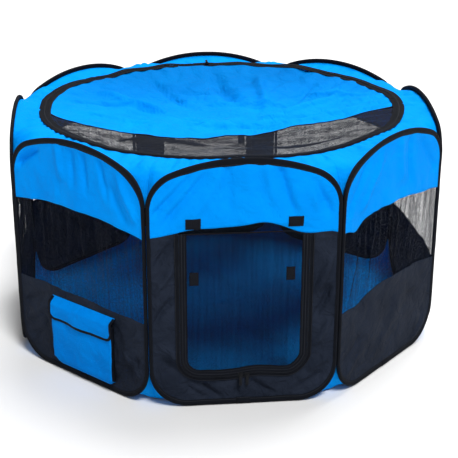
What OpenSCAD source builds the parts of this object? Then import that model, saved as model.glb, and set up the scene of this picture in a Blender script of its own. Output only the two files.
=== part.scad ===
// Eight-sided pop-up pet playpen: sprung hoop walls sewn edge to edge,
// a cloth floor, a roof ring with a zip-off lid, two zipped doors and a
// flap pocket. Ground at z = 0, front door towards -Y, millimetres.

/* [Pen] */
// Distance between the mid-planes of two opposite walls
across_flats = 1090; // [900:10:1200]
// Height from the ground to the top of the hoops
pen_h = 622; // [572:10:702]
// Height where the lower cloth ends and the mesh begins
mesh_low_z = 220; // [215:5:260]
// Height where the mesh ends and the upper cloth begins
mesh_high_z = 450; // [400:5:470]
// Thickness of the cloth
cloth_t = 1; // [0.6:0.1:1.2]
// Thickness of the mesh
mesh_t = 0.8; // [0.4:0.1:1]

/* [Hoops] */
// Diameter of the sprung steel wire
wire_d = 3.2; // [2:0.2:4]
// Outside diameter of the sewn binding sleeve
sleeve_d = 10; // [9:0.5:14]
// Inside diameter of the sleeve, around the wire and its ferrule
sleeve_bore_d = 6.4; // [6:0.2:7]
// Radius of the hoop's upper corners at the wire's centre
top_corner_r = 85; // [75:5:100]
// Radius of the hoop's lower corners at the wire's centre
bottom_corner_r = 90; // [60:2:96]
// Length of the crimped ferrule that closes the hoop
ferrule_l = 36; // [20:2:50]

/* [Doors] */
// Width of the door cut-out in the wall
door_w = 312; // [240:4:320]
// Height of the cut-out's lower edge
door_low_z = 74; // [70:2:110]
// Width of the zip's tapes, both together
door_zip_w = 9; // [7:0.5:12]
// Radius of the zip's lower corners
door_corner_r = 42; // [30:2:60]
// Width of the cloth border around the door's mesh
door_border_w = 18; // [10:1:26]
// Width of a hold-open tab on the wall
hook_tab_w = 34; // [20:1:40]
// Height of a hold-open tab on the wall
hook_tab_h = 26; // [20:1:32]
// Distance of each wall tab from the wall's middle
hook_tab_u = 117; // [90:1:130]
// Distance of each tab on the door from its middle
loop_tab_u = 112; // [80:1:114]

/* [Zip sliders] */
// Length of a slider's body along the zip
slider_l = 12; // [8:1:14]
// Width of a slider's body
slider_w = 11; // [8:1:14]
// Length of a slider's pull
pull_l = 22; // [20:1:40]

/* [Pocket] */
// Width of the pocket
pocket_w = 208; // [150:2:230]
// Height of the pocket's floor
pocket_low_z = 26; // [20:1:36]
// Height of the pocket's mouth
pocket_mouth_z = 178; // [150:2:180]
// Height of the line where the flap is sewn on
flap_top_z = 206; // [202:1:212]
// Depth of the pocket
pocket_d = 14; // [10:1:20]
// How far the pocket is moved sideways on its wall
pocket_u = 12; // [-20:1:20]

/* [Roof and floor] */
// Radius of the zip-off lid
lid_r = 470; // [380:5:475]
// Distance of the lid's cloth and mesh seam in front of its middle
lid_seam_y = 90; // [0:5:160]
// Depth of the roof cloth below the top of the hoops
roof_drop = 24; // [22:1:30]
// Thickness of the floor cloth
floor_t = 1.2; // [0.8:0.1:2]

/* [Hidden] */
$fn = 64;
ap = across_flats / 2;
side = 2 * ap * tan(22.5);
corner_rho = ap / cos(22.5);
sr = sleeve_d / 2;
br = sleeve_bore_d / 2;
wr = wire_d / 2;
// the sleeves of two neighbours lie side by side with a small gap
setback = sr / sin(67.5) + 0.35;
hoop_hw = floor((side / 2 - setback) * 10) / 10;
hoop_y0 = sr;
hoop_y1 = pen_h - sr;
// the cloth's outline ends this far inside the sleeve
edge_gap = 0.15;
// the arched top: a short flat crown, an arch to each side, then a short
// straight that leads into the corner bend. Where the arch ends, the hoop
// leans by the angle of a 44-117-125 triangle
lean_s = 0.352;
lean_c = 0.936;
arch_half = asin(lean_s);
arch_lead = 5;
arch_dr = 5 * floor((hoop_hw - top_corner_r - arch_lead * lean_c - 2) / lean_s / 5);
top_arch_r = top_corner_r + arch_dr;
crown_half = hoop_hw - top_corner_r - arch_lead * lean_c - arch_dr * lean_s;
arch_cy = hoop_y1 - top_arch_r;
shoulder_y = arch_cy + arch_dr * lean_c - arch_lead * lean_s;
door_hw = door_w / 2;
// door flap outline, inside the zip
flap_gap = 0.6;
fl_hw = door_hw - 0.5 - door_zip_w - flap_gap;
fl_y0 = door_low_z + 0.5 + door_zip_w + flap_gap;
fl_y1 = mesh_high_z - 1.5;
fl_r = door_corner_r - door_zip_w - flap_gap;
roof_z = pen_h - roof_drop;
ring_r = lid_r + 9;
lid_zip_r = lid_r + 6;
// where two hoops part at the top and at the bottom of a seam
part_top_z = shoulder_y;
part_low_z = hoop_y0 + bottom_corner_r;
part_rho = corner_rho - 15;

blue = [0.02, 0.45, 0.85];
black = [0.09, 0.10, 0.12];
net = [0.20, 0.22, 0.25];
steel = [0.62, 0.64, 0.66];

// points along an arc
function arc(cx, cy, r, a0, a1, n = 12) =
  [for (i = [0 : n]) let (t = a0 + (a1 - a0) * i / n) [cx + r * cos(t), cy + r * sin(t)]];

// rounded rectangle with its own lower and upper corner radii
function rounded(hw, y0, y1, rb, rt) = concat(
  arc(hw - rb, y0 + rb, rb, -90, 0), arc(hw - rt, y1 - rt, rt, 0, 90),
  arc(-hw + rt, y1 - rt, rt, 90, 180), arc(-hw + rb, y0 + rb, rb, 180, 270));

// outline of the wall, a distance g inside the wire's centre
function wall_outline(g) = let (
    lr = bottom_corner_r - g, tr = top_corner_r - g,
    lx = hoop_hw - bottom_corner_r, tx = hoop_hw - top_corner_r, a = arch_half) concat(
  arc(lx, hoop_y0 + bottom_corner_r, lr, -90, 0), arc(tx, shoulder_y, tr, 0, 90 - a),
  arc(crown_half, arch_cy, top_arch_r - g, 90 - a, 90, 8),
  arc(-crown_half, arch_cy, top_arch_r - g, 90, 90 + a, 8), arc(-tx, shoulder_y, tr, 90 + a, 180),
  arc(-lx, hoop_y0 + bottom_corner_r, lr, 180, 270));

// a U with round lower corners, open at the top
function cup(hw, y0, y1, r) = concat(
  [[-hw, y1]], arc(-hw + r, y0 + r, r, 180, 270), arc(hw - r, y0 + r, r, -90, 0), [[hw, y1]]);

function reversed(p) = [for (i = [len(p) - 1 : -1 : 0]) p[i]];

// wall k, counted anticlockwise from the front: x along the wall, y up, z outwards
module on_wall(k) {
  rotate([0, 0, 45 * k]) translate([0, -ap, 0]) rotate([90, 0, 0]) children();
}

// wire or tube section
module section(ro, ri) {
  difference() {
    circle(r = ro);
    if (ri > 0) circle(r = ri);
  }
}

// straight run along x at height y
module run_x(x0, x1, y, ro, ri) {
  translate([x0, y, 0]) rotate([0, 90, 0]) rotate([0, 0, 90])
    linear_extrude(height = x1 - x0) section(ro, ri);
}

// straight run up the wall at x
module run_y(y0, y1, x, ro, ri) {
  translate([x, y0, 0]) rotate([-90, 0, 0]) linear_extrude(height = y1 - y0) section(ro, ri);
}

// bend about z, starting at angle a0 and turning through da
module bend(r, ro, ri, a0, da) {
  rotate([0, 0, a0]) rotate_extrude(angle = da) translate([r, 0]) section(ro, ri);
}

// turned so that y runs along the hoop where the arch ends
module leaning() {
  multmatrix([[lean_s, -lean_c, 0, 0], [lean_c, lean_s, 0, 0], [0, 0, 1, 0], [0, 0, 0, 1]]) children();
}

// everything past that end
module past_end() { leaning() translate([-800, 0, -20]) cube([1600, 800, 40]); }

// right-hand half of the closed hoop path
module half_loop(ro, ri) {
  tr = top_corner_r;
  lr = bottom_corner_r;
  union() {
    union() {
      run_x(0, hoop_hw - lr, hoop_y0, ro, ri);
      translate([hoop_hw - lr, hoop_y0 + lr, 0]) bend(lr, ro, ri, 270, 90);
    }
    union() {
      run_y(hoop_y0 + lr, shoulder_y, hoop_hw, ro, ri);
      translate([hoop_hw - tr, shoulder_y, 0]) {
        difference() {
          bend(tr, ro, ri, 0, 90);
          past_end();
        }
        leaning() run_y(0, arch_lead, tr, ro, ri);
      }
    }
    union() {
      translate([crown_half, arch_cy, 0]) intersection() {
        bend(top_arch_r, ro, ri, 0, 90);
        past_end();
      }
      run_x(0, crown_half, hoop_y1, ro, ri);
    }
  }
}

// closed hoop path
module loop(ro, ri) {
  half_loop(ro, ri);
  mirror([1, 0, 0]) half_loop(ro, ri);
}

// sprung wire and the ferrule crimped over its ends
module hoop(k) {
  color(steel) on_wall(k) {
    loop(wr, 0);
    run_x(-ferrule_l / 2, ferrule_l / 2, hoop_y0, br - 0.5, wr + 0.05);
  }
}

module sleeve(k) { color(black) on_wall(k) loop(sr, br); }

// one horizontal band of the wall's cloth
module band(z0, z1, t) {
  intersection() {
    linear_extrude(height = t, center = true)
      polygon(wall_outline(sr + edge_gap));
    translate([-side, z0, -5]) cube([2 * side, z1 - z0, 10]);
  }
}

module upper(k) { color(blue) on_wall(k) band(mesh_high_z, pen_h, cloth_t); }
module lower(k) { color(black) on_wall(k) band(0, mesh_low_z, cloth_t); }
module net_panel(k) { color(net) on_wall(k) band(mesh_low_z, mesh_high_z, mesh_t); }

// cloth below and beside a doorway: two side strips and a sill
module surround(k) {
  color(black) on_wall(k) {
    band(0, door_low_z, cloth_t);
    difference() {
      band(door_low_z + 0.1, mesh_high_z, cloth_t);
      translate([-door_hw, 0, -5]) cube([2 * door_hw, pen_h, 10]);
    }
  }
}

module door_zip(k) {
  y1 = mesh_high_z - 0.5;
  hw = door_hw - 0.5;
  y0 = door_low_z + 0.5;
  w = door_zip_w;
  color(black) on_wall(k) linear_extrude(height = 1.6, center = true)
    polygon(concat(cup(hw, y0, y1, door_corner_r),
                   reversed(cup(hw - w, y0 + w, y1, door_corner_r - w))));
}

function window(g) = rounded(fl_hw - door_border_w - g, fl_y0 + door_border_w + g,
                             fl_y1 - door_border_w - g, fl_r - door_border_w / 2 - g, 6 - g);

module door_border(k) {
  color(black) on_wall(k) difference() {
    linear_extrude(height = cloth_t, center = true) polygon(cup(fl_hw, fl_y0, fl_y1, fl_r));
    linear_extrude(height = 10, center = true) polygon(window(0));
  }
}

module door_net(k) {
  color(net) on_wall(k) linear_extrude(height = mesh_t, center = true) polygon(window(0.1));
}

// hook-and-loop patches that hold the rolled-up door
module wall_tabs(k) {
  color(black) on_wall(k) for (s = [-1, 1])
    translate([s * hook_tab_u - hook_tab_w / 2, mesh_high_z + 4, cloth_t / 2])
      cube([hook_tab_w, hook_tab_h, 1.6]);
}

module door_tabs(k) {
  color(black) on_wall(k) for (s = [-1, 1])
    translate([s * loop_tab_u - 10, mesh_high_z - 132, mesh_t / 2 + 0.1]) cube([20, 32, 1.6]);
}

// slider body, bail and hanging pull, at the origin on a zip face at z = 0
module slider_unit() {
  translate([-slider_l / 2, -slider_w / 2, 0.3]) cube([slider_l, slider_w, 3.2]);
  translate([-1.5, -4, 3.5]) cube([3, 8, 0.6]);
  translate([0, -3, 4.4]) {
    difference() {
      union() {
        translate([-3.5, -pull_l, 0]) cube([7, pull_l, 1.6]);
        cylinder(r = 3.5, h = 1.6);
        translate([0, -pull_l, 0]) cylinder(r = 3.5, h = 1.6);
      }
      translate([0, -pull_l, -1]) cylinder(r = 1.6, h = 4);
    }
  }
}

module door_slider(k, s) {
  color(black) on_wall(k)
    translate([s * (slider_l / 2 + 2), door_low_z + 0.5 + door_zip_w / 2, 0.8]) slider_unit();
}

// patch pocket, open at the top
module pouch(k) {
  color(blue) on_wall(k) translate([pocket_u, pocket_low_z, cloth_t / 2 + 0.05]) difference() {
    translate([-pocket_w / 2, 0, 0]) cube([pocket_w, pocket_mouth_z - pocket_low_z, pocket_d]);
    translate([-pocket_w / 2 + 1, 1, -1]) cube([pocket_w - 2, pen_h, pocket_d]);
  }
}

// bent flap that covers the pocket's mouth
module flap(k) {
  d = pocket_d + 1.8;
  z = flap_top_z;
  color(blue) on_wall(k) translate([pocket_u + pocket_w / 2 + 1, 0, 0]) rotate([0, -90, 0])
    linear_extrude(height = pocket_w + 2)
      polygon([[1.1, z - 0.6], [d, z - 20], [d, z - 62], [d + 1, z - 62], [d + 1, z - 19.4], [1.1, z + 0.6]]);
}

// sixteen-sided outline: along each hoop's straight run, then across the corner
function sixteen(u, inset) = [for (k = [0 : 7], s = [-1, 1])
  let (t = 45 * k, x = s * u, y = -(ap - inset)) [x * cos(t) - y * sin(t), x * sin(t) + y * cos(t)]];

// triangular corner gore, hinged on the outline's corner chord and running to the seam
module gore(u, inset, z0, z1, t, lap) {
  c = side / 2 - u;
  rm = corner_rho - c * cos(67.5) - inset / sin(67.5);
  half = c * sin(67.5) - inset * cos(67.5);
  dx = part_rho - rm;
  for (k = [0 : 7]) rotate([0, 0, -67.5 + 45 * k])
    translate([rm, 0, z0]) rotate([0, -atan2(z1 - z0, dx), 0])
      linear_extrude(height = t, center = true)
        polygon([[lap, -half], [sqrt(dx * dx + pow(z1 - z0, 2)), 0], [lap, half]]);
}

module ring() {
  u = hoop_hw - top_corner_r - 30;
  difference() {
    translate([0, 0, roof_z]) linear_extrude(height = cloth_t) polygon(sixteen(u, 9));
    translate([0, 0, roof_z - 5]) cylinder(r = ring_r, h = 20, $fn = 128);
  }
  gore(u, 9, roof_z + cloth_t / 2, part_top_z, cloth_t, 1);
}

module disc(y0, y1) {
  intersection() {
    translate([0, 0, roof_z]) cylinder(r = lid_r, h = cloth_t, $fn = 128);
    translate([-ap, y0, roof_z - 5]) cube([2 * ap, y1 - y0, 20]);
  }
}

module hoop_front() { hoop(0); }
module hoop_front_right() { hoop(1); }
module hoop_right() { hoop(2); }
module hoop_back_right() { hoop(3); }
module hoop_back() { hoop(4); }
module hoop_back_left() { hoop(5); }
module hoop_left() { hoop(6); }
module hoop_front_left() { hoop(7); }
module sleeve_front() { sleeve(0); }
module sleeve_front_right() { sleeve(1); }
module sleeve_right() { sleeve(2); }
module sleeve_back_right() { sleeve(3); }
module sleeve_back() { sleeve(4); }
module sleeve_back_left() { sleeve(5); }
module sleeve_left() { sleeve(6); }
module sleeve_front_left() { sleeve(7); }
module upper_front() { upper(0); }
module upper_front_right() { upper(1); }
module upper_right() { upper(2); }
module upper_back_right() { upper(3); }
module upper_back() { upper(4); }
module upper_back_left() { upper(5); }
module upper_left() { upper(6); }
module upper_front_left() { upper(7); }
module lower_front() { surround(0); }
module lower_front_right() { lower(1); }
module lower_right() { lower(2); }
module lower_back_right() { lower(3); }
module lower_back() { surround(4); }
module lower_back_left() { lower(5); }
module lower_left() { lower(6); }
module lower_front_left() { lower(7); }
module mesh_front_right() { net_panel(1); }
module mesh_right() { net_panel(2); }
module mesh_back_right() { net_panel(3); }
module mesh_back_left() { net_panel(5); }
module mesh_left() { net_panel(6); }
module mesh_front_left() { net_panel(7); }
module front_zip() { door_zip(0); }
module front_door_border() { door_border(0); }
module front_door_mesh() { door_net(0); }
module front_wall_tabs() { wall_tabs(0); }
module front_door_tabs() { door_tabs(0); }
module front_slider_left() { door_slider(0, -1); }
module front_slider_right() { door_slider(0, 1); }
module back_zip() { door_zip(4); }
module back_door_border() { door_border(4); }
module back_door_mesh() { door_net(4); }
module back_wall_tabs() { wall_tabs(4); }
module back_door_tabs() { door_tabs(4); }
module back_slider_left() { door_slider(4, -1); }
module back_slider_right() { door_slider(4, 1); }
module pocket_pouch() { pouch(7); }
module pocket_flap() { flap(7); }
module roof_ring() { color(blue) ring(); }
module lid_cover() { color(blue) disc(-lid_seam_y, ap); }
module lid_mesh() { color(net) disc(-ap, -lid_seam_y - 0.2); }
module lid_zip() {
  color(black) translate([0, 0, roof_z - 0.4]) difference() {
    cylinder(r = lid_zip_r, h = cloth_t + 0.8, $fn = 128);
    translate([0, 0, -1]) cylinder(r = lid_r + 0.2, h = 10, $fn = 128);
  }
}
module lid_slider() {
  color(black) translate([0, lid_r + 3, roof_z + cloth_t + 0.4]) rotate([0, 0, 180]) slider_unit();
}
module floor_cloth() {
  u = hoop_hw - bottom_corner_r;
  color(blue) {
    linear_extrude(height = floor_t) polygon(sixteen(u, 8.5));
    gore(u, 8.5, floor_t / 2 + 0.4, part_low_z, floor_t * 0.6, 1.2);
  }
}

hoop_front();
hoop_front_right();
hoop_right();
hoop_back_right();
hoop_back();
hoop_back_left();
hoop_left();
hoop_front_left();
sleeve_front();
sleeve_front_right();
sleeve_right();
sleeve_back_right();
sleeve_back();
sleeve_back_left();
sleeve_left();
sleeve_front_left();
upper_front();
upper_front_right();
upper_right();
upper_back_right();
upper_back();
upper_back_left();
upper_left();
upper_front_left();
lower_front();
lower_front_right();
lower_right();
lower_back_right();
lower_back();
lower_back_left();
lower_left();
lower_front_left();
mesh_front_right();
mesh_right();
mesh_back_right();
mesh_back_left();
mesh_left();
mesh_front_left();
front_zip();
front_door_border();
front_door_mesh();
front_wall_tabs();
front_door_tabs();
front_slider_left();
front_slider_right();
back_zip();
back_door_border();
back_door_mesh();
back_wall_tabs();
back_door_tabs();
back_slider_left();
back_slider_right();
pocket_pouch();
pocket_flap();
roof_ring();
lid_cover();
lid_mesh();
lid_zip();
lid_slider();
floor_cloth();
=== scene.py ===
import math
import bpy
import numpy as np
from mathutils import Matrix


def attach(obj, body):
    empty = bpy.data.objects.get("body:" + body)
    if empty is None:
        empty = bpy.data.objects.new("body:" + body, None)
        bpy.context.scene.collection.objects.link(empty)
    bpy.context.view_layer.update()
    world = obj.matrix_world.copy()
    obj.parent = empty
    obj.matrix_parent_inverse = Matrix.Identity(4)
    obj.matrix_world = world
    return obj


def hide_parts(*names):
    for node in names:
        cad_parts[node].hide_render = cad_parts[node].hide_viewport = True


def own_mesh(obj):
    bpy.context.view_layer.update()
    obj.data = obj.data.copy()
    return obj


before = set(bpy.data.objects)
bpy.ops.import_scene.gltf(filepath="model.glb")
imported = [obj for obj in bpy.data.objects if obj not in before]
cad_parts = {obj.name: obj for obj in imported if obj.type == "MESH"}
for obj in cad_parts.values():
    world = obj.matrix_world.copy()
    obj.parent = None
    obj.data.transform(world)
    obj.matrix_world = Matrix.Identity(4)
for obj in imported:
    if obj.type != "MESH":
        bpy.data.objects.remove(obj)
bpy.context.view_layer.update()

scene = bpy.context.scene

# ---------------------------------------------------------------- sizes (metres, as in the solid model)
AP, H, SR = 0.545, 0.622, 0.005
SIDE = 2 * AP * math.tan(math.radians(22.5))
RHO = AP / math.cos(math.radians(22.5))
HW = math.floor((SIDE / 2 - (SR / math.sin(math.radians(67.5)) + 0.00035)) * 1e4) / 1e4
TR, LR, AR, Y0, Y1 = 0.085, 0.090, 0.445, SR, H - SR
LEAN_S, LEAN_C, LEAD = 0.352, 0.936, 0.005
ARCH = math.asin(LEAN_S)
CROWN = HW - TR - LEAD * LEAN_C - (AR - TR) * LEAN_S
ACY = Y1 - AR
SHY = ACY + (AR - TR) * LEAN_C - LEAD * LEAN_S
ZJT, ZJB = SHY, Y0 + LR
ROOF_Z = 0.5985
NAMES = ["front", "front_right", "right", "back_right", "back", "back_left", "left", "front_left"]
DOOR_HW, DOOR_LOW, DOOR_TOP, DOOR_R = 0.151, 0.079, 0.4485, 0.046
LID_R = 0.470


def ss(a, b, x):
    t = np.clip((np.asarray(x, float) - a) / (b - a), 0, 1)
    return t * t * (3 - 2 * t)


def lattice(i, j, seed):
    n = (i.astype(np.int64) * 374761393 + j.astype(np.int64) * 668265263 + seed * 974634777) & 0xFFFFFFFF
    n = ((n ^ (n >> 13)) * 1274126177) & 0xFFFFFFFF
    n = n ^ (n >> 16)
    return (n & 0xFFFF) / 65535.0 * 2 - 1


def noise(x, y, seed):
    x, y = np.broadcast_arrays(np.asarray(x, float), np.asarray(y, float))
    xi, yi = np.floor(x), np.floor(y)
    fx, fy = x - xi, y - yi
    fx, fy = fx ** 3 * (fx * (fx * 6 - 15) + 10), fy ** 3 * (fy * (fy * 6 - 15) + 10)
    a, b = lattice(xi, yi, seed), lattice(xi + 1, yi, seed)
    c, d = lattice(xi, yi + 1, seed), lattice(xi + 1, yi + 1, seed)
    return (a * (1 - fx) + b * fx) * (1 - fy) + (c * (1 - fx) + d * fx) * fy


def fbm(x, y, seed, octaves=3):
    total, amp, f = 0, 1.0, 1.0
    for o in range(octaves):
        total = total + amp * noise(x * f + 3.7 * o, y * f - 1.3 * o, seed + 17 * o)
        amp, f = amp * 0.5, f * 2.03
    return total


def crease(u, z, p0, p1, width, amp):
    """A soft fold running from p0 to p1, fading at both ends."""
    p0, p1 = np.array(p0, float), np.array(p1, float)
    d = p1 - p0
    ln = np.hypot(*d)
    d = d / ln
    a = (u - p0[0]) * d[0] + (z - p0[1]) * d[1]
    b = -(u - p0[0]) * d[1] + (z - p0[1]) * d[0]
    t = a / ln
    b = b + 0.010 * np.sin(t * 3.4 + 9.0 * p0[0]) * (ln / 0.3)
    return amp * np.exp(-(b / width) ** 2) * ss(-0.02, 0.2, t) * (1 - ss(0.7, 1.02, t))


# ---------------------------------------------------------------- wall frames and outlines
def W(k, u, z, d):
    th = math.radians(45 * k)
    c, s = math.cos(th), math.sin(th)
    u, z, d = np.broadcast_arrays(np.asarray(u, float), np.asarray(z, float), np.asarray(d, float))
    r = AP + d
    return np.stack([u * c + r * s, u * s - r * c, z], -1)


def normal(k):
    th = math.radians(45 * k)
    return np.array([math.sin(th), -math.cos(th), 0.0])


def sdf(u, z):
    """Distance inside the hoop's centre line (positive inside)."""
    u = np.abs(u)
    d = np.minimum(np.minimum(HW - u, z - Y0), AR - np.hypot(np.maximum(u - CROWN, 0), z - ACY))
    cx, cz = u - (HW - TR), z - SHY
    d = np.where((cx > 0) & (cz > 0) & (cz < cx / math.tan(ARCH)), TR - np.hypot(cx, cz), d)
    bx, bz = u - (HW - LR), Y0 + LR - z
    return np.where((bx > 0) & (bz > 0), np.minimum(d, LR - np.hypot(bx, bz)), d)


def z_top(u):
    u = np.abs(u)
    q = np.maximum(u - (HW - TR), 0)
    arch = ACY + np.sqrt(np.maximum(AR ** 2 - np.maximum(u - CROWN, 0) ** 2, 0))
    return np.where(u <= CROWN + AR * LEAN_S, arch, SHY + np.sqrt(np.maximum(TR ** 2 - q ** 2, 0)))


def z_low(u):
    q = np.maximum(np.abs(u) - (HW - LR), 0)
    return Y0 + LR - np.sqrt(np.maximum(LR ** 2 - q ** 2, 0))


HIGH = {0: (0.461, -0.002, -0.026), 1: (0.451, -0.002, -0.0235), 7: (0.4585, -0.003, -0.024)}
LOW = {1: (0.246, 0.004, -0.022), 7: (0.225, -0.006, -0.003)}
# local dips of a seam: place, half width, depth
DIPS = {0: (0.135, 0.045, 0.009), 1: (-0.168, 0.026, 0.015)}


def seam_high(k, u):
    s = u / HW
    a, b, c = HIGH.get(k, (0.456, 0.0, -0.025))
    z = a + b * s + c * s * s + 0.0032 * noise(u / 0.06, 0.5, 60 + k)
    if k in DIPS:
        m, w, h = DIPS[k]
        z = z - h * np.exp(-((u - m) / w) ** 2)
    if k == 0:
        z = z + 0.011 * np.exp(-((u - 0.045) / 0.055) ** 2) + 0.006 * ss(0.15, 0.22, u)
    return z


def seam_low(k, u):
    s = u / HW
    a, b, c = LOW.get(k, (0.228, 0.0, -0.012))
    z = a + b * s + c * s * s + 0.0025 * noise(u / 0.08, 0.5, 80 + k)
    if k == 1:
        z = z - 0.012 * np.exp(-((u + 0.150) / 0.035) ** 2)
    if k == 5:
        z = z + 0.036 * ss(0.01, 0.16, u)
    return z


def door_out(u, z):
    """Distance outside the door's zip line."""
    qx = np.abs(u) - DOOR_HW
    qy = DOOR_LOW - z
    return np.where((qx > 0) & (qy > 0), np.hypot(qx, qy), np.maximum(qx, qy))


FOLDS = {
    0: [((-0.216, 0.470), (-0.112, 0.606), 0.0090, -0.0085), ((-0.186, 0.452), (-0.078, 0.612), 0.0085, -0.0080), ((-0.205, 0.500), (-0.120, 0.600), 0.009, 0.0050), ((-0.120, 0.470), (-0.050, 0.615), 0.012, 0.0060),
        ((0.005, 0.616), (0.025, 0.470), 0.020, 0.0065), ((0.080, 0.615), (0.114, 0.470), 0.010, -0.0090), ((0.200, 0.470), (0.140, 0.604), 0.011, -0.0075), ((-0.040, 0.616), (-0.030, 0.480), 0.012, -0.0060), ((0.050, 0.612), (0.070, 0.500), 0.010, 0.0050),
        ((0.150, 0.602), (0.165, 0.480), 0.010, 0.0055),
        ((-0.214, 0.160), (-0.040, 0.040), 0.011, 0.0085), ((-0.214, 0.130), (-0.080, 0.040), 0.009, -0.0070), ((-0.150, 0.062), (-0.085, 0.014), 0.007, -0.0070), ((-0.105, 0.060), (-0.045, 0.012), 0.007, -0.0080), ((-0.010, 0.070), (-0.018, 0.010), 0.006, -0.0065),
        ((0.012, 0.066), (0.085, 0.014), 0.008, -0.0085), ((0.212, 0.125), (0.120, 0.060), 0.011, 0.0095), ((0.214, 0.080), (0.110, 0.030), 0.009, -0.0070), ((0.214, 0.385), (0.160, 0.280), 0.010, 0.0125), ((0.214, 0.305), (0.160, 0.215), 0.008, -0.0110),
        ((0.214, 0.225), (0.160, 0.145), 0.010, 0.0125), ((0.214, 0.440), (0.172, 0.400), 0.009, -0.0055), ((-0.212, 0.350), (-0.162, 0.435), 0.008, -0.0115), ((-0.212, 0.285), (-0.160, 0.375), 0.009, 0.0110), ((-0.212, 0.215), (-0.160, 0.300), 0.008, -0.0105)],
    1: [((-0.150, 0.435), (-0.190, 0.215), 0.0060, 0.0080), ((-0.085, 0.452), (-0.115, 0.245), 0.0055, 0.0090), ((-0.125, 0.440), (-0.160, 0.330), 0.0070, -0.0050), ((0.060, 0.440), (0.020, 0.250), 0.016, -0.0050),
        ((-0.205, 0.450), (-0.120, 0.604), 0.010, -0.0080), ((-0.150, 0.450), (-0.060, 0.610), 0.011, 0.0070), ((0.020, 0.614), (0.030, 0.480), 0.014, 0.0075), ((0.070, 0.612), (0.060, 0.470), 0.010, -0.0065), ((0.200, 0.470), (0.100, 0.606), 0.012, -0.0075),
        ((-0.200, 0.035), (-0.100, 0.105), 0.012, 0.0060), ((-0.205, 0.075), (-0.110, 0.140), 0.010, -0.0045), ((-0.060, 0.030), (0.060, 0.200), 0.020, 0.0050), ((0.190, 0.060), (0.070, 0.210), 0.018, -0.0055), ((0.120, 0.020), (0.205, 0.060), 0.010, 0.0050)],
    2: [((-0.19, 0.47), (0.08, 0.56), 0.02, -0.005), ((0.19, 0.40), (-0.08, 0.30), 0.02, -0.004), ((-0.18, 0.06), (0.10, 0.16), 0.02, 0.005)],
    7: [((0.030, 0.616), (0.045, 0.490), 0.009, -0.0065), ((0.085, 0.612), (0.112, 0.490), 0.008, -0.0070), ((-0.212, 0.515), (-0.120, 0.592), 0.011, -0.0150), ((-0.060, 0.614), (-0.030, 0.510), 0.012, 0.0065), ((-0.010, 0.616), (0.005, 0.500), 0.009, -0.0050),
        ((0.205, 0.455), (0.140, 0.590), 0.010, 0.0075), ((0.170, 0.450), (0.110, 0.560), 0.010, -0.0060), ((-0.150, 0.480), (-0.170, 0.260), 0.010, 0.0060), ((0.010, 0.460), (0.030, 0.240), 0.018, -0.0050), ((0.206, 0.060), (0.145, 0.130), 0.008, 0.0085),
        ((0.200, 0.120), (0.135, 0.050), 0.008, -0.0070), ((0.214, 0.190), (0.140, 0.140), 0.010, 0.0065), ((-0.210, 0.095), (-0.110, 0.180), 0.010, 0.0085), ((-0.205, 0.150), (-0.120, 0.200), 0.009, -0.0065), ((-0.190, 0.050), (-0.115, 0.110), 0.009, -0.0060)],
}


def bulge(k, u, z):
    """How far the wall's cloth stands out from the hoop's plane."""
    e = sdf(u, z)
    f = ss(0.006, 0.075, e)
    d = f * (0.0048 * fbm(u / 0.11 + 5 * k, z / 0.22, 11 + k) + 0.0020 * fbm(u / 0.045 + z / 0.12, z / 0.11, 31 + k, 2))
    d = d + 0.004 * ss(0.01, 0.2, e)
    default = [((-0.19, 0.47), (0.08, 0.56), 0.02, 0.005), ((0.19, 0.40), (-0.08, 0.30), 0.02, -0.004), ((-0.18, 0.06), (0.10, 0.16), 0.02, 0.005)]
    near = ss(0.003, 0.026, e)
    for c in FOLDS.get(k, default):
        d = d + near * crease(u, z, *c)
    if k in (0, 4):
        d = d * ss(-0.001, 0.018, np.maximum(door_out(u, z), z - DOOR_TOP - 0.003))
        run = ss(0.028, 0.044, z) * (1 - ss(0.088, 0.102, z)) * (1 - ss(0.116, 0.138, np.abs(u)))
        d = np.where(d > 0, d * (1 - 0.9 * run), d)
    if k == 7:
        sewn = ss(0.165, 0.186, z) * (1 - ss(0.211, 0.230, z)) * (1 - ss(0.112, 0.130, np.abs(u - 0.012)))
        d = d * (1 - 0.94 * sewn)
    return d


# ---------------------------------------------------------------- mesh building
def mesh_object(name, verts, faces, mat, uv=None, smooth=True):
    me = bpy.data.meshes.new(name)
    me.from_pydata(np.asarray(verts, float).reshape(-1, 3).tolist(), [], faces)
    if uv is not None:
        uv = np.asarray(uv, float).reshape(-1, 2)
        layer = me.uv_layers.new(name="UVMap")
        idx = np.zeros(len(me.loops), np.int32)
        me.loops.foreach_get("vertex_index", idx)
        layer.data.foreach_set("uv", uv[idx].astype(np.float32).ravel())
    mats = mat if isinstance(mat, (list, tuple)) else [mat]
    for m in mats:
        me.materials.append(m)
    me.polygons.foreach_set("use_smooth", [smooth] * len(me.polygons))
    me.validate()
    me.update()
    ob = bpy.data.objects.new(name, me)
    scene.collection.objects.link(ob)
    return ob


def join(parts):
    """Concatenate (verts, faces, uv) lists."""
    vs, fs, us, n = [], [], [], 0
    for v, f, u in parts:
        v = np.asarray(v, float).reshape(-1, 3)
        vs.append(v)
        us.append(np.asarray(u, float).reshape(-1, 2))
        fs += [tuple(i + n for i in q) for q in f]
        n += len(v)
    return np.concatenate(vs), fs, np.concatenate(us)


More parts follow.
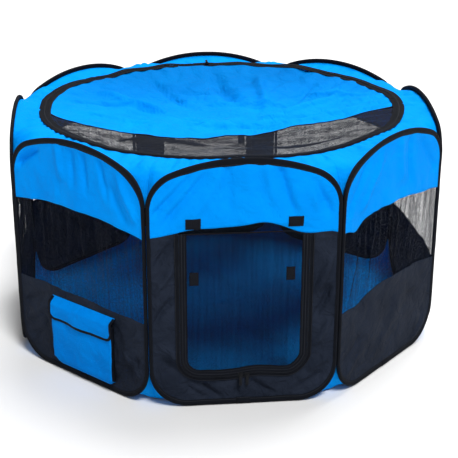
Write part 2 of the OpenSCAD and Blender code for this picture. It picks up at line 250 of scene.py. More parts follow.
def slab(P, t, uv=None, towards=None):
    """Closed sheet of thickness t on a grid of points P (rows, columns, 3)."""
    P = np.asarray(P, float)
    n, m = P.shape[:2]
    du = np.gradient(P, axis=0)
    dv = np.gradient(P, axis=1)
    N = np.cross(du, dv)
    ln = np.linalg.norm(N, axis=-1, keepdims=True)
    N = N / np.maximum(ln, 1e-12)
    flip = towards is not None and np.sum(N.mean((0, 1)) * towards) < 0
    if flip:
        N = -N
    front, back = P + N * t / 2, P - N * t / 2
    i = np.arange(n * m).reshape(n, m)
    a, b, c, d = i[:-1, :-1].ravel(), i[1:, :-1].ravel(), i[1:, 1:].ravel(), i[:-1, 1:].ravel()
    q = np.stack([a, d, c, b] if flip else [a, b, c, d], 1)
    faces = [tuple(x) for x in q] + [tuple(x[::-1] + n * m) for x in q]
    loop = list(i[:, 0]) + list(i[-1, 1:]) + list(i[-2::-1, -1]) + list(i[0, -2:0:-1])
    for x, y in zip(loop, loop[1:] + loop[:1]):
        e = (x, y, y + n * m, x + n * m)
        faces.append(e[::-1] if not flip else e)
    if uv is None:
        su = np.concatenate([[0], np.cumsum(np.linalg.norm(np.diff(P[:, m // 2], axis=0), axis=1))])
        sv = np.concatenate([[0], np.cumsum(np.linalg.norm(np.diff(P[n // 2], axis=0), axis=1))])
        uv = np.stack(np.meshgrid(su, sv, indexing="ij"), -1)
    uv = np.asarray(uv, float).reshape(-1, 2)
    return np.concatenate([front.reshape(-1, 3), back.reshape(-1, 3)]), faces, np.concatenate([uv, uv])


def flat_area(P):
    P = np.asarray(P, float)
    a = np.cross(P[1:, :-1] - P[:-1, :-1], P[:-1, 1:] - P[:-1, :-1])
    b = np.cross(P[1:, :-1] - P[1:, 1:], P[:-1, 1:] - P[1:, 1:])
    return float((np.linalg.norm(a, axis=-1) + np.linalg.norm(b, axis=-1)).sum() / 2)


def sweep(path, side, up, profile, closed=True, uvscale=True):
    """Sweep a closed profile [(across, out)] along a path; side and up are unit vectors per point."""
    path = np.asarray(path, float)
    pr = np.asarray(profile, float)
    n, m = len(path), pr.shape[-2]
    if pr.ndim == 2:
        pr = np.broadcast_to(pr, (n, m, 2))
    V = path[:, None] + side[:, None] * pr[..., :1] + up[:, None] * pr[..., 1:]
    step = np.linalg.norm(np.diff(path, axis=0), axis=1)
    s = np.concatenate([[0], np.cumsum(step)])
    if closed:
        V = np.concatenate([V, V[:1]])
        s = np.append(s, s[-1] + np.linalg.norm(path[0] - path[-1]))
        n += 1
    g = pr[0]
    ring = np.concatenate([[0], np.cumsum(np.linalg.norm(np.diff(np.vstack([g, g[:1]]), axis=0), axis=1))])
    faces, uv = [], []
    base = lambda i, j: i * (m + 1) + j
    Vx = np.concatenate([V, V[:, :1]], 1)
    uv = np.stack(np.meshgrid(s, ring, indexing="ij"), -1)
    for i in range(n - 1):
        for j in range(m):
            faces.append((base(i, j), base(i, j + 1), base(i + 1, j + 1), base(i + 1, j)))
    if not closed:
        faces.append(tuple(base(0, j) for j in range(m))[::-1])
        faces.append(tuple(base(n - 1, j) for j in range(m)))
    return Vx.reshape(-1, 3), faces, uv.reshape(-1, 2)


def welded(ob, dist=1e-6):
    """Merge the doubled seam of a sweep, so the mesh is closed."""
    import bmesh
    bm = bmesh.new()
    bm.from_mesh(ob.data)
    bmesh.ops.remove_doubles(bm, verts=bm.verts, dist=dist)
    bmesh.ops.recalc_face_normals(bm, faces=bm.faces)
    bm.to_mesh(ob.data)
    bm.free()
    return ob


def boxes(centres, along, across, out, size):
    """Many small blocks with chamfered tops: centres and three unit axes per block, size (l, w, h)."""
    l, w, h = size
    corner = [(-1, -1, 0, 1), (1, -1, 0, 1), (1, 1, 0, 1), (-1, 1, 0, 1), (-1, -1, 1, .6), (1, -1, 1, .6), (1, 1, 1, .6), (-1, 1, 1, .6)]
    V = np.concatenate([(centres + along * (cx * l / 2 * t) + across * (cy * w / 2 * t) + out * (cz * h))[:, None] for cx, cy, cz, t in corner], 1)
    quad = [(3, 2, 1, 0), (4, 5, 6, 7), (0, 1, 5, 4), (1, 2, 6, 5), (2, 3, 7, 6), (3, 0, 4, 7)]
    faces = [tuple(8 * i + x for x in q) for i in range(len(centres)) for q in quad]
    return V.reshape(-1, 3), faces, np.zeros((V.shape[0] * 8, 2))


# ---------------------------------------------------------------- materials
def nodes_of(name):
    m = bpy.data.materials.new(name)
    m.use_nodes = True
    nt = m.node_tree
    return m, nt, nt.nodes["Principled BSDF"]


def link(nt, a, b):
    nt.links.new(a, b)


def add(nt, kind, **props):
    n = nt.nodes.new(kind)
    for k, v in props.items():
        if k.startswith("in_"):
            n.inputs[int(k[3:]) if k[3:].isdigit() else k[3:].replace("_", " ")].default_value = v
        else:
            setattr(n, k, v)
    return n


def weave_nodes(nt, pitch, coords="UV"):
    """Plain weave height from two crossed waves, as a socket."""
    tc = add(nt, "ShaderNodeTexCoord")
    mp = add(nt, "ShaderNodeMapping")
    s = 0.314 / pitch
    mp.inputs["Scale"].default_value = (s, s, s)
    link(nt, tc.outputs[coords], mp.inputs["Vector"])
    wx = add(nt, "ShaderNodeTexWave", bands_direction="X")
    wy = add(nt, "ShaderNodeTexWave", bands_direction="Y")
    for w in (wx, wy):
        w.inputs["Scale"].default_value = 1.0
        w.inputs["Distortion"].default_value = 0.6
        w.inputs["Detail"].default_value = 1.0
        link(nt, mp.outputs["Vector"], w.inputs["Vector"])
    mx = add(nt, "ShaderNodeMath", operation="MULTIPLY")
    link(nt, wx.outputs["Fac"], mx.inputs[0])
    link(nt, wy.outputs["Fac"], mx.inputs[1])
    return mx.outputs[0], tc


def cloth(name, light, dark, rough, pitch=0.0011, weave=0.25, crumple=0.35, sheen=0.15, spec=0.35, tint_scale=9.0, deep=0.010, painted_shade=None):
    m, nt, b = nodes_of(name)
    weave_h, tc = weave_nodes(nt, pitch)
    big = add(nt, "ShaderNodeTexNoise")
    big.inputs["Scale"].default_value = tint_scale
    big.inputs["Detail"].default_value = 5
    big.inputs["Roughness"].default_value = 0.6
    link(nt, tc.outputs["Object"], big.inputs["Vector"])
    ramp = add(nt, "ShaderNodeValToRGB")
    ramp.color_ramp.elements[0].position = 0.32
    ramp.color_ramp.elements[1].position = 0.70
    ramp.color_ramp.elements[0].color = (*dark, 1)
    ramp.color_ramp.elements[1].color = (*light, 1)
    link(nt, big.outputs["Fac"], ramp.inputs["Fac"])
    thread = add(nt, "ShaderNodeMix", data_type="RGBA", blend_type="MULTIPLY")
    thread.inputs[0].default_value = 0.16
    tinted = ramp.outputs["Color"]
    if painted_shade:
        # painted shade: the base colour is darkened smoothly towards the piece's rear (by object Y), standing in for
        # the lid's back being in shade
        sep = add(nt, "ShaderNodeSeparateXYZ")
        link(nt, tc.outputs["Object"], sep.inputs["Vector"])
        painted_shade_ramp = add(nt, "ShaderNodeMapRange", interpolation_type="SMOOTHSTEP")
        painted_shade_ramp.inputs["From Min"].default_value = painted_shade[0]
        painted_shade_ramp.inputs["From Max"].default_value = painted_shade[1]
        painted_shade_ramp.inputs["To Min"].default_value = 1.0
        painted_shade_ramp.inputs["To Max"].default_value = painted_shade[2]
        link(nt, sep.outputs["Y"], painted_shade_ramp.inputs["Value"])
        painted_shade_mix = add(nt, "ShaderNodeMix", data_type="RGBA", blend_type="MULTIPLY")
        painted_shade_mix.inputs[0].default_value = 1.0
        link(nt, tinted, painted_shade_mix.inputs[6])
        link(nt, painted_shade_ramp.outputs["Result"], painted_shade_mix.inputs[7])
        tinted = painted_shade_mix.outputs[2]
    link(nt, tinted, thread.inputs[6])
    link(nt, weave_h, thread.inputs[7])
    link(nt, thread.outputs[2], b.inputs["Base Color"])
    fine = add(nt, "ShaderNodeTexNoise")
    fine.inputs["Scale"].default_value = 26.0
    fine.inputs["Detail"].default_value = 6
    fine.inputs["Roughness"].default_value = 0.55
    fine.inputs["Distortion"].default_value = 0.8
    link(nt, tc.outputs["Object"], fine.inputs["Vector"])
    b1 = add(nt, "ShaderNodeBump")
    b1.inputs["Strength"].default_value = crumple
    b1.inputs["Distance"].default_value = deep
    link(nt, fine.outputs["Fac"], b1.inputs["Height"])
    b2 = add(nt, "ShaderNodeBump")
    b2.inputs["Strength"].default_value = weave
    b2.inputs["Distance"].default_value = 0.0004
    link(nt, weave_h, b2.inputs["Height"])
    link(nt, b1.outputs["Normal"], b2.inputs["Normal"])
    link(nt, b2.outputs["Normal"], b.inputs["Normal"])
    rr = add(nt, "ShaderNodeMapRange")
    rr.inputs["To Min"].default_value = rough - 0.06
    rr.inputs["To Max"].default_value = rough + 0.08
    link(nt, fine.outputs["Fac"], rr.inputs["Value"])
    link(nt, rr.outputs["Result"], b.inputs["Roughness"])
    b.inputs["Sheen Weight"].default_value = sheen
    b.inputs["Sheen Roughness"].default_value = 0.5
    b.inputs["Specular IOR Level"].default_value = spec
    return m


def net(name, color, cover=0.52, pitch=0.0019, uneven=0.45):
    """Open mesh: knitted threads with clear holes between."""
    m, nt, b = nodes_of(name)
    tc = add(nt, "ShaderNodeTexCoord")
    mp = add(nt, "ShaderNodeMapping")
    s = 0.314 / pitch
    mp.inputs["Scale"].default_value = (s, s, s)
    mp.inputs["Rotation"].default_value = (0, 0, math.radians(45))
    link(nt, tc.outputs["UV"], mp.inputs["Vector"])
    waves = []
    for d in ("X", "Y"):
        w = add(nt, "ShaderNodeTexWave", bands_direction=d)
        w.inputs["Scale"].default_value = 1.0
        w.inputs["Distortion"].default_value = 0.35
        link(nt, mp.outputs["Vector"], w.inputs["Vector"])
        waves.append(w)
    mx = add(nt, "ShaderNodeMath", operation="MAXIMUM")
    link(nt, waves[0].outputs["Fac"], mx.inputs[0])
    link(nt, waves[1].outputs["Fac"], mx.inputs[1])
    tint = add(nt, "ShaderNodeTexNoise")
    tint.inputs["Scale"].default_value = 14.0
    tint.inputs["Detail"].default_value = 4
    link(nt, tc.outputs["Object"], tint.inputs["Vector"])
    grain = add(nt, "ShaderNodeTexNoise")
    grain.inputs["Scale"].default_value = 190.0
    grain.inputs["Detail"].default_value = 2
    link(nt, tc.outputs["UV"], grain.inputs["Vector"])
    stretch = add(nt, "ShaderNodeMapping")
    stretch.inputs["Scale"].default_value = (120.0, 3.5, 1.0)
    link(nt, tc.outputs["UV"], stretch.inputs["Vector"])
    streak = add(nt, "ShaderNodeTexNoise")
    streak.inputs["Scale"].default_value = 1.0
    streak.inputs["Detail"].default_value = 3
    link(nt, stretch.outputs["Vector"], streak.inputs["Vector"])
    both = add(nt, "ShaderNodeMath", operation="ADD")
    link(nt, grain.outputs["Fac"], both.inputs[0])
    link(nt, streak.outputs["Fac"], both.inputs[1])
    vary = add(nt, "ShaderNodeMath", operation="MULTIPLY_ADD")
    vary.inputs[1].default_value = uneven
    vary.inputs[2].default_value = -uneven
    link(nt, both.outputs[0], vary.inputs[0])
    total = add(nt, "ShaderNodeMath", operation="ADD")
    link(nt, mx.outputs[0], total.inputs[0])
    link(nt, vary.outputs[0], total.inputs[1])
    mr = add(nt, "ShaderNodeMapRange")
    edge = 0.5 + 0.5 * math.cos(math.pi * (1 - math.sqrt(1 - cover)))
    mr.inputs["From Min"].default_value = edge - 0.08
    mr.inputs["From Max"].default_value = edge + 0.08
    link(nt, total.outputs[0], mr.inputs["Value"])
    link(nt, mr.outputs["Result"], b.inputs["Alpha"])
    ramp = add(nt, "ShaderNodeValToRGB")
    ramp.color_ramp.elements[0].color = (*[c * 0.75 for c in color], 1)
    ramp.color_ramp.elements[1].color = (*[c * 1.3 for c in color], 1)
    link(nt, tint.outputs["Fac"], ramp.inputs["Fac"])
    link(nt, ramp.outputs["Color"], b.inputs["Base Color"])
    bp = add(nt, "ShaderNodeBump")
    bp.inputs["Strength"].default_value = 0.4
    bp.inputs["Distance"].default_value = 0.0004
    link(nt, mx.outputs[0], bp.inputs["Height"])
    link(nt, bp.outputs["Normal"], b.inputs["Normal"])
    b.inputs["Roughness"].default_value = 0.6
    b.inputs["Specular IOR Level"].default_value = 0.06
    return m


def tape(name, color, stitch_at=(), thread=(0.055, 0.055, 0.06), rib=0.0012, rough=0.72):
    """Ribbed binding tape. UV.x runs along it and UV.y round it; stitch lines sit at the given UV.y."""
    m, nt, b = nodes_of(name)
    tc = add(nt, "ShaderNodeTexCoord")
    sep = add(nt, "ShaderNodeSeparateXYZ")
    link(nt, tc.outputs["UV"], sep.inputs["Vector"])
    wv = add(nt, "ShaderNodeTexWave", bands_direction="X")
    wv.inputs["Scale"].default_value = 0.314 / rib
    wv.inputs["Distortion"].default_value = 0.3
    link(nt, tc.outputs["UV"], wv.inputs["Vector"])
    ns = add(nt, "ShaderNodeTexNoise")
    ns.inputs["Scale"].default_value = 35.0
    ns.inputs["Detail"].default_value = 5
    link(nt, tc.outputs["Object"], ns.inputs["Vector"])
    ramp = add(nt, "ShaderNodeValToRGB")
    ramp.color_ramp.elements[0].color = (*[c * 0.7 for c in color], 1)
    ramp.color_ramp.elements[1].color = (*[c * 1.5 for c in color], 1)
    link(nt, ns.outputs["Fac"], ramp.inputs["Fac"])
    color_out = ramp.outputs["Color"]
    height = wv.outputs["Fac"]
    for y in stitch_at:
        dash = add(nt, "ShaderNodeMath", operation="FRACT")
        sc = add(nt, "ShaderNodeMath", operation="MULTIPLY")
        sc.inputs[1].default_value = 1 / 0.0042
        link(nt, sep.outputs["X"], sc.inputs[0])
        link(nt, sc.outputs[0], dash.inputs[0])
        on = add(nt, "ShaderNodeMath", operation="LESS_THAN")
        on.inputs[1].default_value = 0.72
        link(nt, dash.outputs[0], on.inputs[0])
        near = add(nt, "ShaderNodeMath", operation="COMPARE")
        near.inputs[1].default_value = y
        near.inputs[2].default_value = 0.0006
        link(nt, sep.outputs["Y"], near.inputs[0])
        both = add(nt, "ShaderNodeMath", operation="MULTIPLY")
        link(nt, on.outputs[0], both.inputs[0])
        link(nt, near.outputs[0], both.inputs[1])
        mix = add(nt, "ShaderNodeMix", data_type="RGBA")
        mix.inputs[7].default_value = (*thread, 1)
        link(nt, both.outputs[0], mix.inputs[0])
        link(nt, color_out, mix.inputs[6])
        color_out = mix.outputs[2]
        ad = add(nt, "ShaderNodeMath", operation="MULTIPLY_ADD")
        ad.inputs[1].default_value = 2.0
        link(nt, both.outputs[0], ad.inputs[0])
        link(nt, height, ad.inputs[2])
        height = ad.outputs[0]
    link(nt, color_out, b.inputs["Base Color"])
    bp = add(nt, "ShaderNodeBump")
    bp.inputs["Strength"].default_value = 0.5
    bp.inputs["Distance"].default_value = 0.0005
    link(nt, height, bp.inputs["Height"])
    link(nt, bp.outputs["Normal"], b.inputs["Normal"])
    b.inputs["Roughness"].default_value = rough
    b.inputs["Specular IOR Level"].default_value = 0.07
    return m


def fuzz(name, color):
    """Hook-and-loop patch: a felted pile."""
    m, nt, b = nodes_of(name)
    tc = add(nt, "ShaderNodeTexCoord")
    v = add(nt, "ShaderNodeTexVoronoi")
    v.inputs["Scale"].default_value = 700.0
    link(nt, tc.outputs["Object"], v.inputs["Vector"])
    ramp = add(nt, "ShaderNodeValToRGB")
    ramp.color_ramp.elements[0].color = (*[c * 1.8 for c in color], 1)
    ramp.color_ramp.elements[1].color = (*[c * 0.5 for c in color], 1)
    link(nt, v.outputs["Distance"], ramp.inputs["Fac"])
    link(nt, ramp.outputs["Color"], b.inputs["Base Color"])
    bp = add(nt, "ShaderNodeBump")
    bp.inputs["Strength"].default_value = 0.7
    bp.inputs["Distance"].default_value = 0.0008
    link(nt, v.outputs["Distance"], bp.inputs["Height"])
    link(nt, bp.outputs["Normal"], b.inputs["Normal"])
    b.inputs["Roughness"].default_value = 0.9
    b.inputs["Specular IOR Level"].default_value = 0.1
    return m


def metal(name, color, rough, metallic=0.0):
    """Painted or drawn metal with fine wear."""
    m, nt, b = nodes_of(name)
    tc = add(nt, "ShaderNodeTexCoord")
    n1 = add(nt, "ShaderNodeTexNoise")
    n1.inputs["Scale"].default_value = 220.0
    n1.inputs["Detail"].default_value = 6
    link(nt, tc.outputs["Object"], n1.inputs["Vector"])
    ramp = add(nt, "ShaderNodeValToRGB")
    ramp.color_ramp.elements[0].position = 0.35
    ramp.color_ramp.elements[1].position = 0.75
    ramp.color_ramp.elements[0].color = (*color, 1)
    ramp.color_ramp.elements[1].color = (*[min(1, c * 1.6 + (0.01 if metallic else 0.001)) for c in color], 1)
    link(nt, n1.outputs["Fac"], ramp.inputs["Fac"])
    link(nt, ramp.outputs["Color"], b.inputs["Base Color"])
    mr = add(nt, "ShaderNodeMapRange")
    mr.inputs["To Min"].default_value = rough - 0.08
    mr.inputs["To Max"].default_value = rough + 0.12
    link(nt, n1.outputs["Fac"], mr.inputs["Value"])
    link(nt, mr.outputs["Result"], b.inputs["Roughness"])
    b.inputs["Metallic"].default_value = metallic
    b.inputs["Specular IOR Level"].default_value = 0.5 if metallic else 0.12
    bp = add(nt, "ShaderNodeBump")
    bp.inputs["Strength"].default_value = 0.15
    bp.inputs["Distance"].default_value = 0.0003
    link(nt, n1.outputs["Fac"], bp.inputs["Height"])
    link(nt, bp.outputs["Normal"], b.inputs["Normal"])
    return m


BLUE = cloth("blue_cloth", (0.0, 0.300, 0.93), (0.0, 0.262, 0.86), 0.60, crumple=0.55, sheen=0.0, spec=0.012)
# the lid cover's blue carries painted shade: its colour darkens smoothly towards the rear
COVER = cloth("lid_cover_cloth", (0.0, 0.300, 0.93), (0.0, 0.262, 0.86), 0.60, crumple=0.75, sheen=0.0, spec=0.012, deep=0.014, painted_shade=(-0.06, 0.40, 0.61))
POUCH = cloth("pocket_cloth", (0.0, 0.232, 0.77), (0.0, 0.204, 0.71), 0.60, crumple=0.55, sheen=0.0, spec=0.012)
FLOOR = cloth("floor_cloth", (0.0, 0.33, 0.93), (0.0, 0.28, 0.84), 0.60, crumple=0.25, sheen=0.0, spec=0.02)
BLACK = cloth("black_cloth", (0.0178, 0.0240, 0.0405), (0.0102, 0.0142, 0.0248), 0.58, crumple=1.0, sheen=0.0, spec=0.03, deep=0.014)
NET = net("black_mesh", (0.0085, 0.0110, 0.0190), cover=0.15, pitch=0.0026)
# the door's black mesh is a darker copy of the wall mesh: painted shade for the dim inside seen through the door
DOOR_NET_SHADED = net("door_mesh", (0.0016, 0.0034, 0.0072), cover=0.52, pitch=0.0026, uneven=0.40)
THREAD = tape("mesh_thread", (0.0080, 0.0102, 0.0172), rib=0.0006)
ROOFNET = net("roof_mesh", (0.0090, 0.0115, 0.0195), cover=0.58, pitch=0.0026, uneven=0.28)
TRIM = tape("trim_tape", (0.0036, 0.0047, 0.0080), stitch_at=(0.004,), thread=(0.022, 0.024, 0.03))
ZIPT = tape("zip_tape", (0.0036, 0.0046, 0.0075), stitch_at=(0.0015,), thread=(0.022, 0.024, 0.03), rib=0.0009)
TEETH = metal("zip_teeth", (0.0050, 0.0064, 0.0100), 0.55)
PATCH = fuzz("hook_patch", (0.0048, 0.0058, 0.0088))
SLIDE = metal("slider_paint", (0.0040, 0.0046, 0.0062), 0.50)
WIRE = metal("spring_wire", (0.50, 0.51, 0.52), 0.30, metallic=1.0)


def fit(ob, body, *nodes):
    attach(ob, body)
    if nodes:
        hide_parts(*nodes)
    return ob


def cut(ob, flat_grid, size=None):
    """Work out a cloth piece's flat area and size from the grid it was laid out on; the piece is returned unchanged."""
    P = np.asarray(flat_grid, float)
    a = flat_area(P)
    q = P.reshape(-1, 3)
    c = q - q.mean(0)
    w, v = np.linalg.eigh(c.T @ c)
    ext = np.ptp(c @ v, axis=0)
    l, wd = size or (float(ext[2]), float(ext[1]))
    a = min(max(a, 0.301 * wd * l), wd * l)
    return ob


# ---------------------------------------------------------------- hoop path
def hoop_path(steps=(26, 20, 40, 30)):
    """Closed centre line in wall coordinates, from the bottom middle, with inward unit vectors."""
    nl, na, ns, nt = steps
    pts, inw = [], []

    def seg(p0, p1, n, iv):
        for t in np.linspace(0, 1, n, endpoint=False):
            pts.append((p0[0] + (p1[0] - p0[0]) * t, p0[1] + (p1[1] - p0[1]) * t))
            inw.append(iv)

    def arc(c, r, a0, a1, n):
        for a in np.radians(np.linspace(a0, a1, n, endpoint=False)):
            pts.append((c[0] + r * math.cos(a), c[1] + r * math.sin(a)))
            inw.append((-math.cos(a), -math.sin(a)))

    seg((0, Y0), (HW - LR, Y0), nl, (0, 1))
    arc((HW - LR, Y0 + LR), LR, -90, 0, na)
    seg((HW, Y0 + LR), (HW, SHY), ns, (-1, 0))
    a = math.degrees(ARCH)
    arc((HW - TR, SHY), TR, 0, 90 - a, nt)
    lead = (HW - TR + TR * LEAN_S, SHY + TR * LEAN_C)
    seg(lead, (lead[0] - LEAD * LEAN_C, lead[1] + LEAD * LEAN_S), 2, (-LEAN_S, -LEAN_C))
    arc((CROWN, ACY), AR, 90 - a, 90, nl)
    seg((CROWN, Y1), (-CROWN, Y1), 2, (0, -1))
    arc((-CROWN, ACY), AR, 90, 90 + a, nl)
    seg((-lead[0] + LEAD * LEAN_C, lead[1] + LEAD * LEAN_S), (-lead[0], lead[1]), 2, (LEAN_S, -LEAN_C))
    arc((-HW + TR, SHY), TR, 90 + a, 180, nt)
    seg((-HW, SHY), (-HW, Y0 + LR), ns, (1, 0))
    arc((-HW + LR, Y0 + LR), LR, 180, 270, na)
    seg((-HW + LR, Y0), (0, Y0), nl, (0, 1))
    return np.array(pts), np.array(inw)


PATH, INW = hoop_path()
PLEN = np.concatenate([[0], np.cumsum(np.linalg.norm(np.diff(PATH, axis=0), axis=1))])


def tape_profile(r=0.0047, tail=0.0100):
    pr = []
    for a in np.radians(np.linspace(100, 260, 9)):
        pr.append((r * math.cos(a), r * math.sin(a)))
    half = [(0.30 * tail, 0.0042), (0.66 * tail, 0.0028), (tail - 0.0008, 0.0021), (tail, 0.0012)]
    pr += [(x, -y) for x, y in half] + half[::-1]
    return np.array(pr)


_g = tape_profile()
_ring = np.concatenate([[0], np.cumsum(np.linalg.norm(np.diff(np.vstack([_g, _g[:1]]), axis=0), axis=1))])
BIND = tape("binding", (0.0034, 0.0043, 0.0070), thread=(0.022, 0.024, 0.03), stitch_at=(float(_ring[10]), float(_ring[15])))


# where more of the binding lies over the wall: place, half width, share
SHOWS = {0: [(0.0, 0.110, 0.42)], 1: [(-0.185, 0.050, 0.55)], 7: [(0.185, 0.050, 0.60), (0.02, 0.09, 0.2)]}


def make_sleeve(k):
    name = NAMES[k]
    base = tape_profile()
    n = len(PATH)
    pr = np.repeat(base[None], n, 0).copy()
    wob = noise(PLEN / 0.05, 0.3, 200 + k) * 0.0008 + np.sin(PLEN / 0.013 + k) * 0.00035
    tailmask = np.clip(base[:, 0] / 0.0100, 0, 1)
    # the tape folds back along the upright seams, so less of it shows there
    flat = 0.47 + 0.53 * np.abs(INW[:, 1]) ** 0.7
    for u0, wd, more in SHOWS.get(k, ()):
        flat = flat + more * np.exp(-((PATH[:, 0] - u0) / wd) ** 2) * ss(0.48, 0.56, PATH[:, 1])
    pr[:, :, 0] *= np.where(base[None, :, 0] > 0, flat[:, None], 1.0)
    pr[:, :, 0] += wob[:, None] * tailmask[None]
    pr[:, :, 1] *= (1 + 0.10 * noise(PLEN / 0.035, 0.7, 220 + k))[:, None]
    c = W(k, PATH[:, 0], PATH[:, 1], 0)
    side = W(k, PATH[:, 0] + INW[:, 0], PATH[:, 1] + INW[:, 1], 0) - c
    up = np.broadcast_to(normal(k), c.shape)
    parts = [sweep(c, side, up, pr)]
    # the tape's two ends lap over each other at the bottom middle
    x = np.linspace(-0.017, 0.017, 9)
    cc = W(k, x, Y0, 0)
    lap = base * np.array([1.10, 1.16]) - np.array([0.0001, 0])
    parts.append(sweep(cc, np.broadcast_to([0, 0, 1.0], cc.shape), np.broadcast_to(normal(k), cc.shape), lap, closed=False))
    ob = mesh_object("binding_" + name, *join(parts)[:2], BIND, uv=join(parts)[2])
    welded(ob)
    fit(ob, name + "_wall", "sleeve_" + name)
    return ob


# ---------------------------------------------------------------- wall cloth
def band_grid(k, lo, hi, nv=26, inset=0.0015):
    nu = 120 if k in FOLDS else 84
    s = np.linspace(-1, 1, nu)
    u = (HW - inset) * (0.6 * s + 0.4 * np.sin(s * math.pi / 2))
    t = np.linspace(0, 1, nv)
    a, b = lo(u), hi(u)
    U = np.repeat(u[:, None], nv, 1)
    Z = a[:, None] + (b - a)[:, None] * t[None]
    return U, Z


def make_band(k, part, lo, hi, mat, t, nv, lift=0.0):
    name = NAMES[k]
    U, Z = band_grid(k, lo, hi, nv=nv)
    D = bulge(k, U, Z) + lift
    P = W(k, U, Z, D)
    v, f, uv = slab(P, t, uv=np.stack([U, Z], -1), towards=normal(k))
    if part == "mesh":
        plain = len(f)
        v, f, uv = join([(v, f, uv), threads(k, lo, hi, depth=0.00050 if k == 6 else 0.00024)])
        ob = mesh_object(f"{part}_cloth_{name}", v, f, [mat, THREAD], uv=uv)
        idx = np.zeros(len(ob.data.polygons), np.int32)
        idx[plain:] = 1
        ob.data.polygons.foreach_set("material_index", idx)
    else:
        ob = mesh_object(f"{part}_cloth_{name}", v, f, mat, uv=uv)
    fit(ob, name + "_wall", f"{part}_{name}")
    cut(ob, W(k, U, Z, 0 * U))
    return ob


def threads(k, lo, hi, pitch=0.0024, width=0.00016, depth=0.00024, n=14):
    """The mesh's upright thread columns: they give it body, so it closes up when seen from the side."""
    u = np.arange(-HW + 0.004, HW - 0.004, pitch)
    t = np.linspace(0, 1, n)
    a, b = lo(u) + 0.001, hi(u) - 0.001
    U = np.repeat(u[:, None], n, 1)
    Z = a[:, None] + (b - a)[:, None] * t
    D = bulge(k, U, Z)
    V = np.stack([W(k, U + du, Z, D + dd) for du, dd in ((-width / 2, 0.0), (width / 2, 0.0), (width / 2, -depth), (-width / 2, -depth))], 2)
    faces = []
    for c in range(len(u)):
        o = c * n * 4
        faces.append((o, o + 3, o + 2, o + 1))
        e = o + (n - 1) * 4
        faces.append((e, e + 1, e + 2, e + 3))
        for i in range(n - 1):
            q = o + 4 * i
            for j in range(4):
                faces.append((q + j, q + (j + 1) % 4, q + 4 + (j + 1) % 4, q + 4 + j))
    uv = np.repeat(np.stack([U, Z], -1)[:, :, None], 4, 2)
    return V.reshape(-1, 3), faces, uv.reshape(-1, 2)


def u_curve(hw, low, top, r, n=(24, 12, 30), slack=True):
    """Open U from its upper left end to its upper right end, with a slack lower run."""
    top, right = top if isinstance(top, tuple) else (top, top)
    p = [(-hw, top + (low + r - top) * t) for t in np.linspace(0, 1, n[0], endpoint=False)]
    p += [(-hw + r + r * math.cos(a), low + r + r * math.sin(a)) for a in np.radians(np.linspace(180, 270, n[1], endpoint=False))]
    p += [(-hw + r + (2 * hw - 2 * r) * t, low) for t in np.linspace(0, 1, n[2], endpoint=False)]
    p += [(hw - r + r * math.cos(a), low + r + r * math.sin(a)) for a in np.radians(np.linspace(270, 360, n[1], endpoint=False))]
    p += [(hw, low + r + (right - low - r) * t) for t in np.linspace(0, 1, n[0])]
    p = np.array(p)
    if slack:
        p[:, 1] += door_wave(p[:, 0]) * (1 - ss(low + 0.02, low + 0.06, p[:, 1]))
    return p


def door_wave(u):
    """Rise of the door's lower run: it sags and lifts a little, and the right bend is cut across."""
    return 0.0055 * np.exp(-((u - 0.035) / 0.040) ** 2) - 0.0030 * np.exp(-((u + 0.055) / 0.045) ** 2) + 0.012 * ss(0.095, 0.165, u)


def make_surround(k):
    name = NAMES[k]
    parts, flat = [], []
    steps = (90, 24, 96)
    outer = u_curve(HW - 0.0015, Y0 + 0.0015, 0, LR - 0.0015, steps, slack=False)
    inner = u_curve(DOOR_HW + 0.002, DOOR_LOW - 0.002, DOOR_TOP, DOOR_R + 0.002, steps)
    n0 = steps[0]
    # the outer edge climbs to the blue seam, the inner one to the door's head
    zt = float(seam_high(k, np.array([HW - 0.0015]))[0])
    outer[:n0, 1] = np.linspace(zt, Y0 + LR, n0, endpoint=False)
    outer[-n0:, 1] = np.linspace(Y0 + LR, float(seam_high(k, np.array([HW - 0.0015]))[0]), n0)
    outer[:n0, 0], outer[-n0:, 0] = -(HW - 0.0015), HW - 0.0015
    t = np.linspace(0, 1, 20)
    U = inner[:, None, 0] + (outer - inner)[:, None, 0] * t
    Z = inner[:, None, 1] + (outer - inner)[:, None, 1] * t
    # the upper ends follow the seam
    for i in list(range(n0)) + list(range(len(inner) - n0, len(inner))):
        j = i if i < n0 else len(inner) - 1 - i
        f = 1 - j / (n0 - 1)
        want = seam_high(k, U[i]) + 0.005
        Z[i] = Z[i] + (want - Z[i]) * ss(0.75, 1.0, f)
    D = bulge(k, U, Z)
    v1 = slab(W(k, U, Z, D), 0.0011, uv=np.stack([U, Z], -1), towards=normal(k))
    flat.append(W(k, U, Z, 0 * U))
    # header strip between the door's head and the blue seam
    u = np.linspace(-DOOR_HW - 0.002, DOOR_HW + 0.002, 36)
    tt = np.linspace(0, 1, 5)
    UU = np.repeat(u[:, None], 5, 1)
    ZZ = (DOOR_TOP - 0.0040) + (seam_high(k, u) + 0.005 - DOOR_TOP + 0.0040)[:, None] * tt
    v, f, uv = v1
    ob = mesh_object("lower_cloth_" + name, v, f, BLACK, uv=uv)
    fit(ob, name + "_wall", "lower_" + name)
    v, f, uv = slab(W(k, UU, ZZ, bulge(k, UU, ZZ)), 0.0008, uv=np.stack([UU, ZZ], -1), towards=normal(k))
    # the header strip uses the door net's darker colour, which is painted shade
    hd = mesh_object("header_net_" + name, v, f, DOOR_NET_SHADED, uv=uv)
    fit(hd, name + "_wall", "lower_" + name)
    cut(hd, W(k, UU, ZZ, 0 * UU))
    return ob


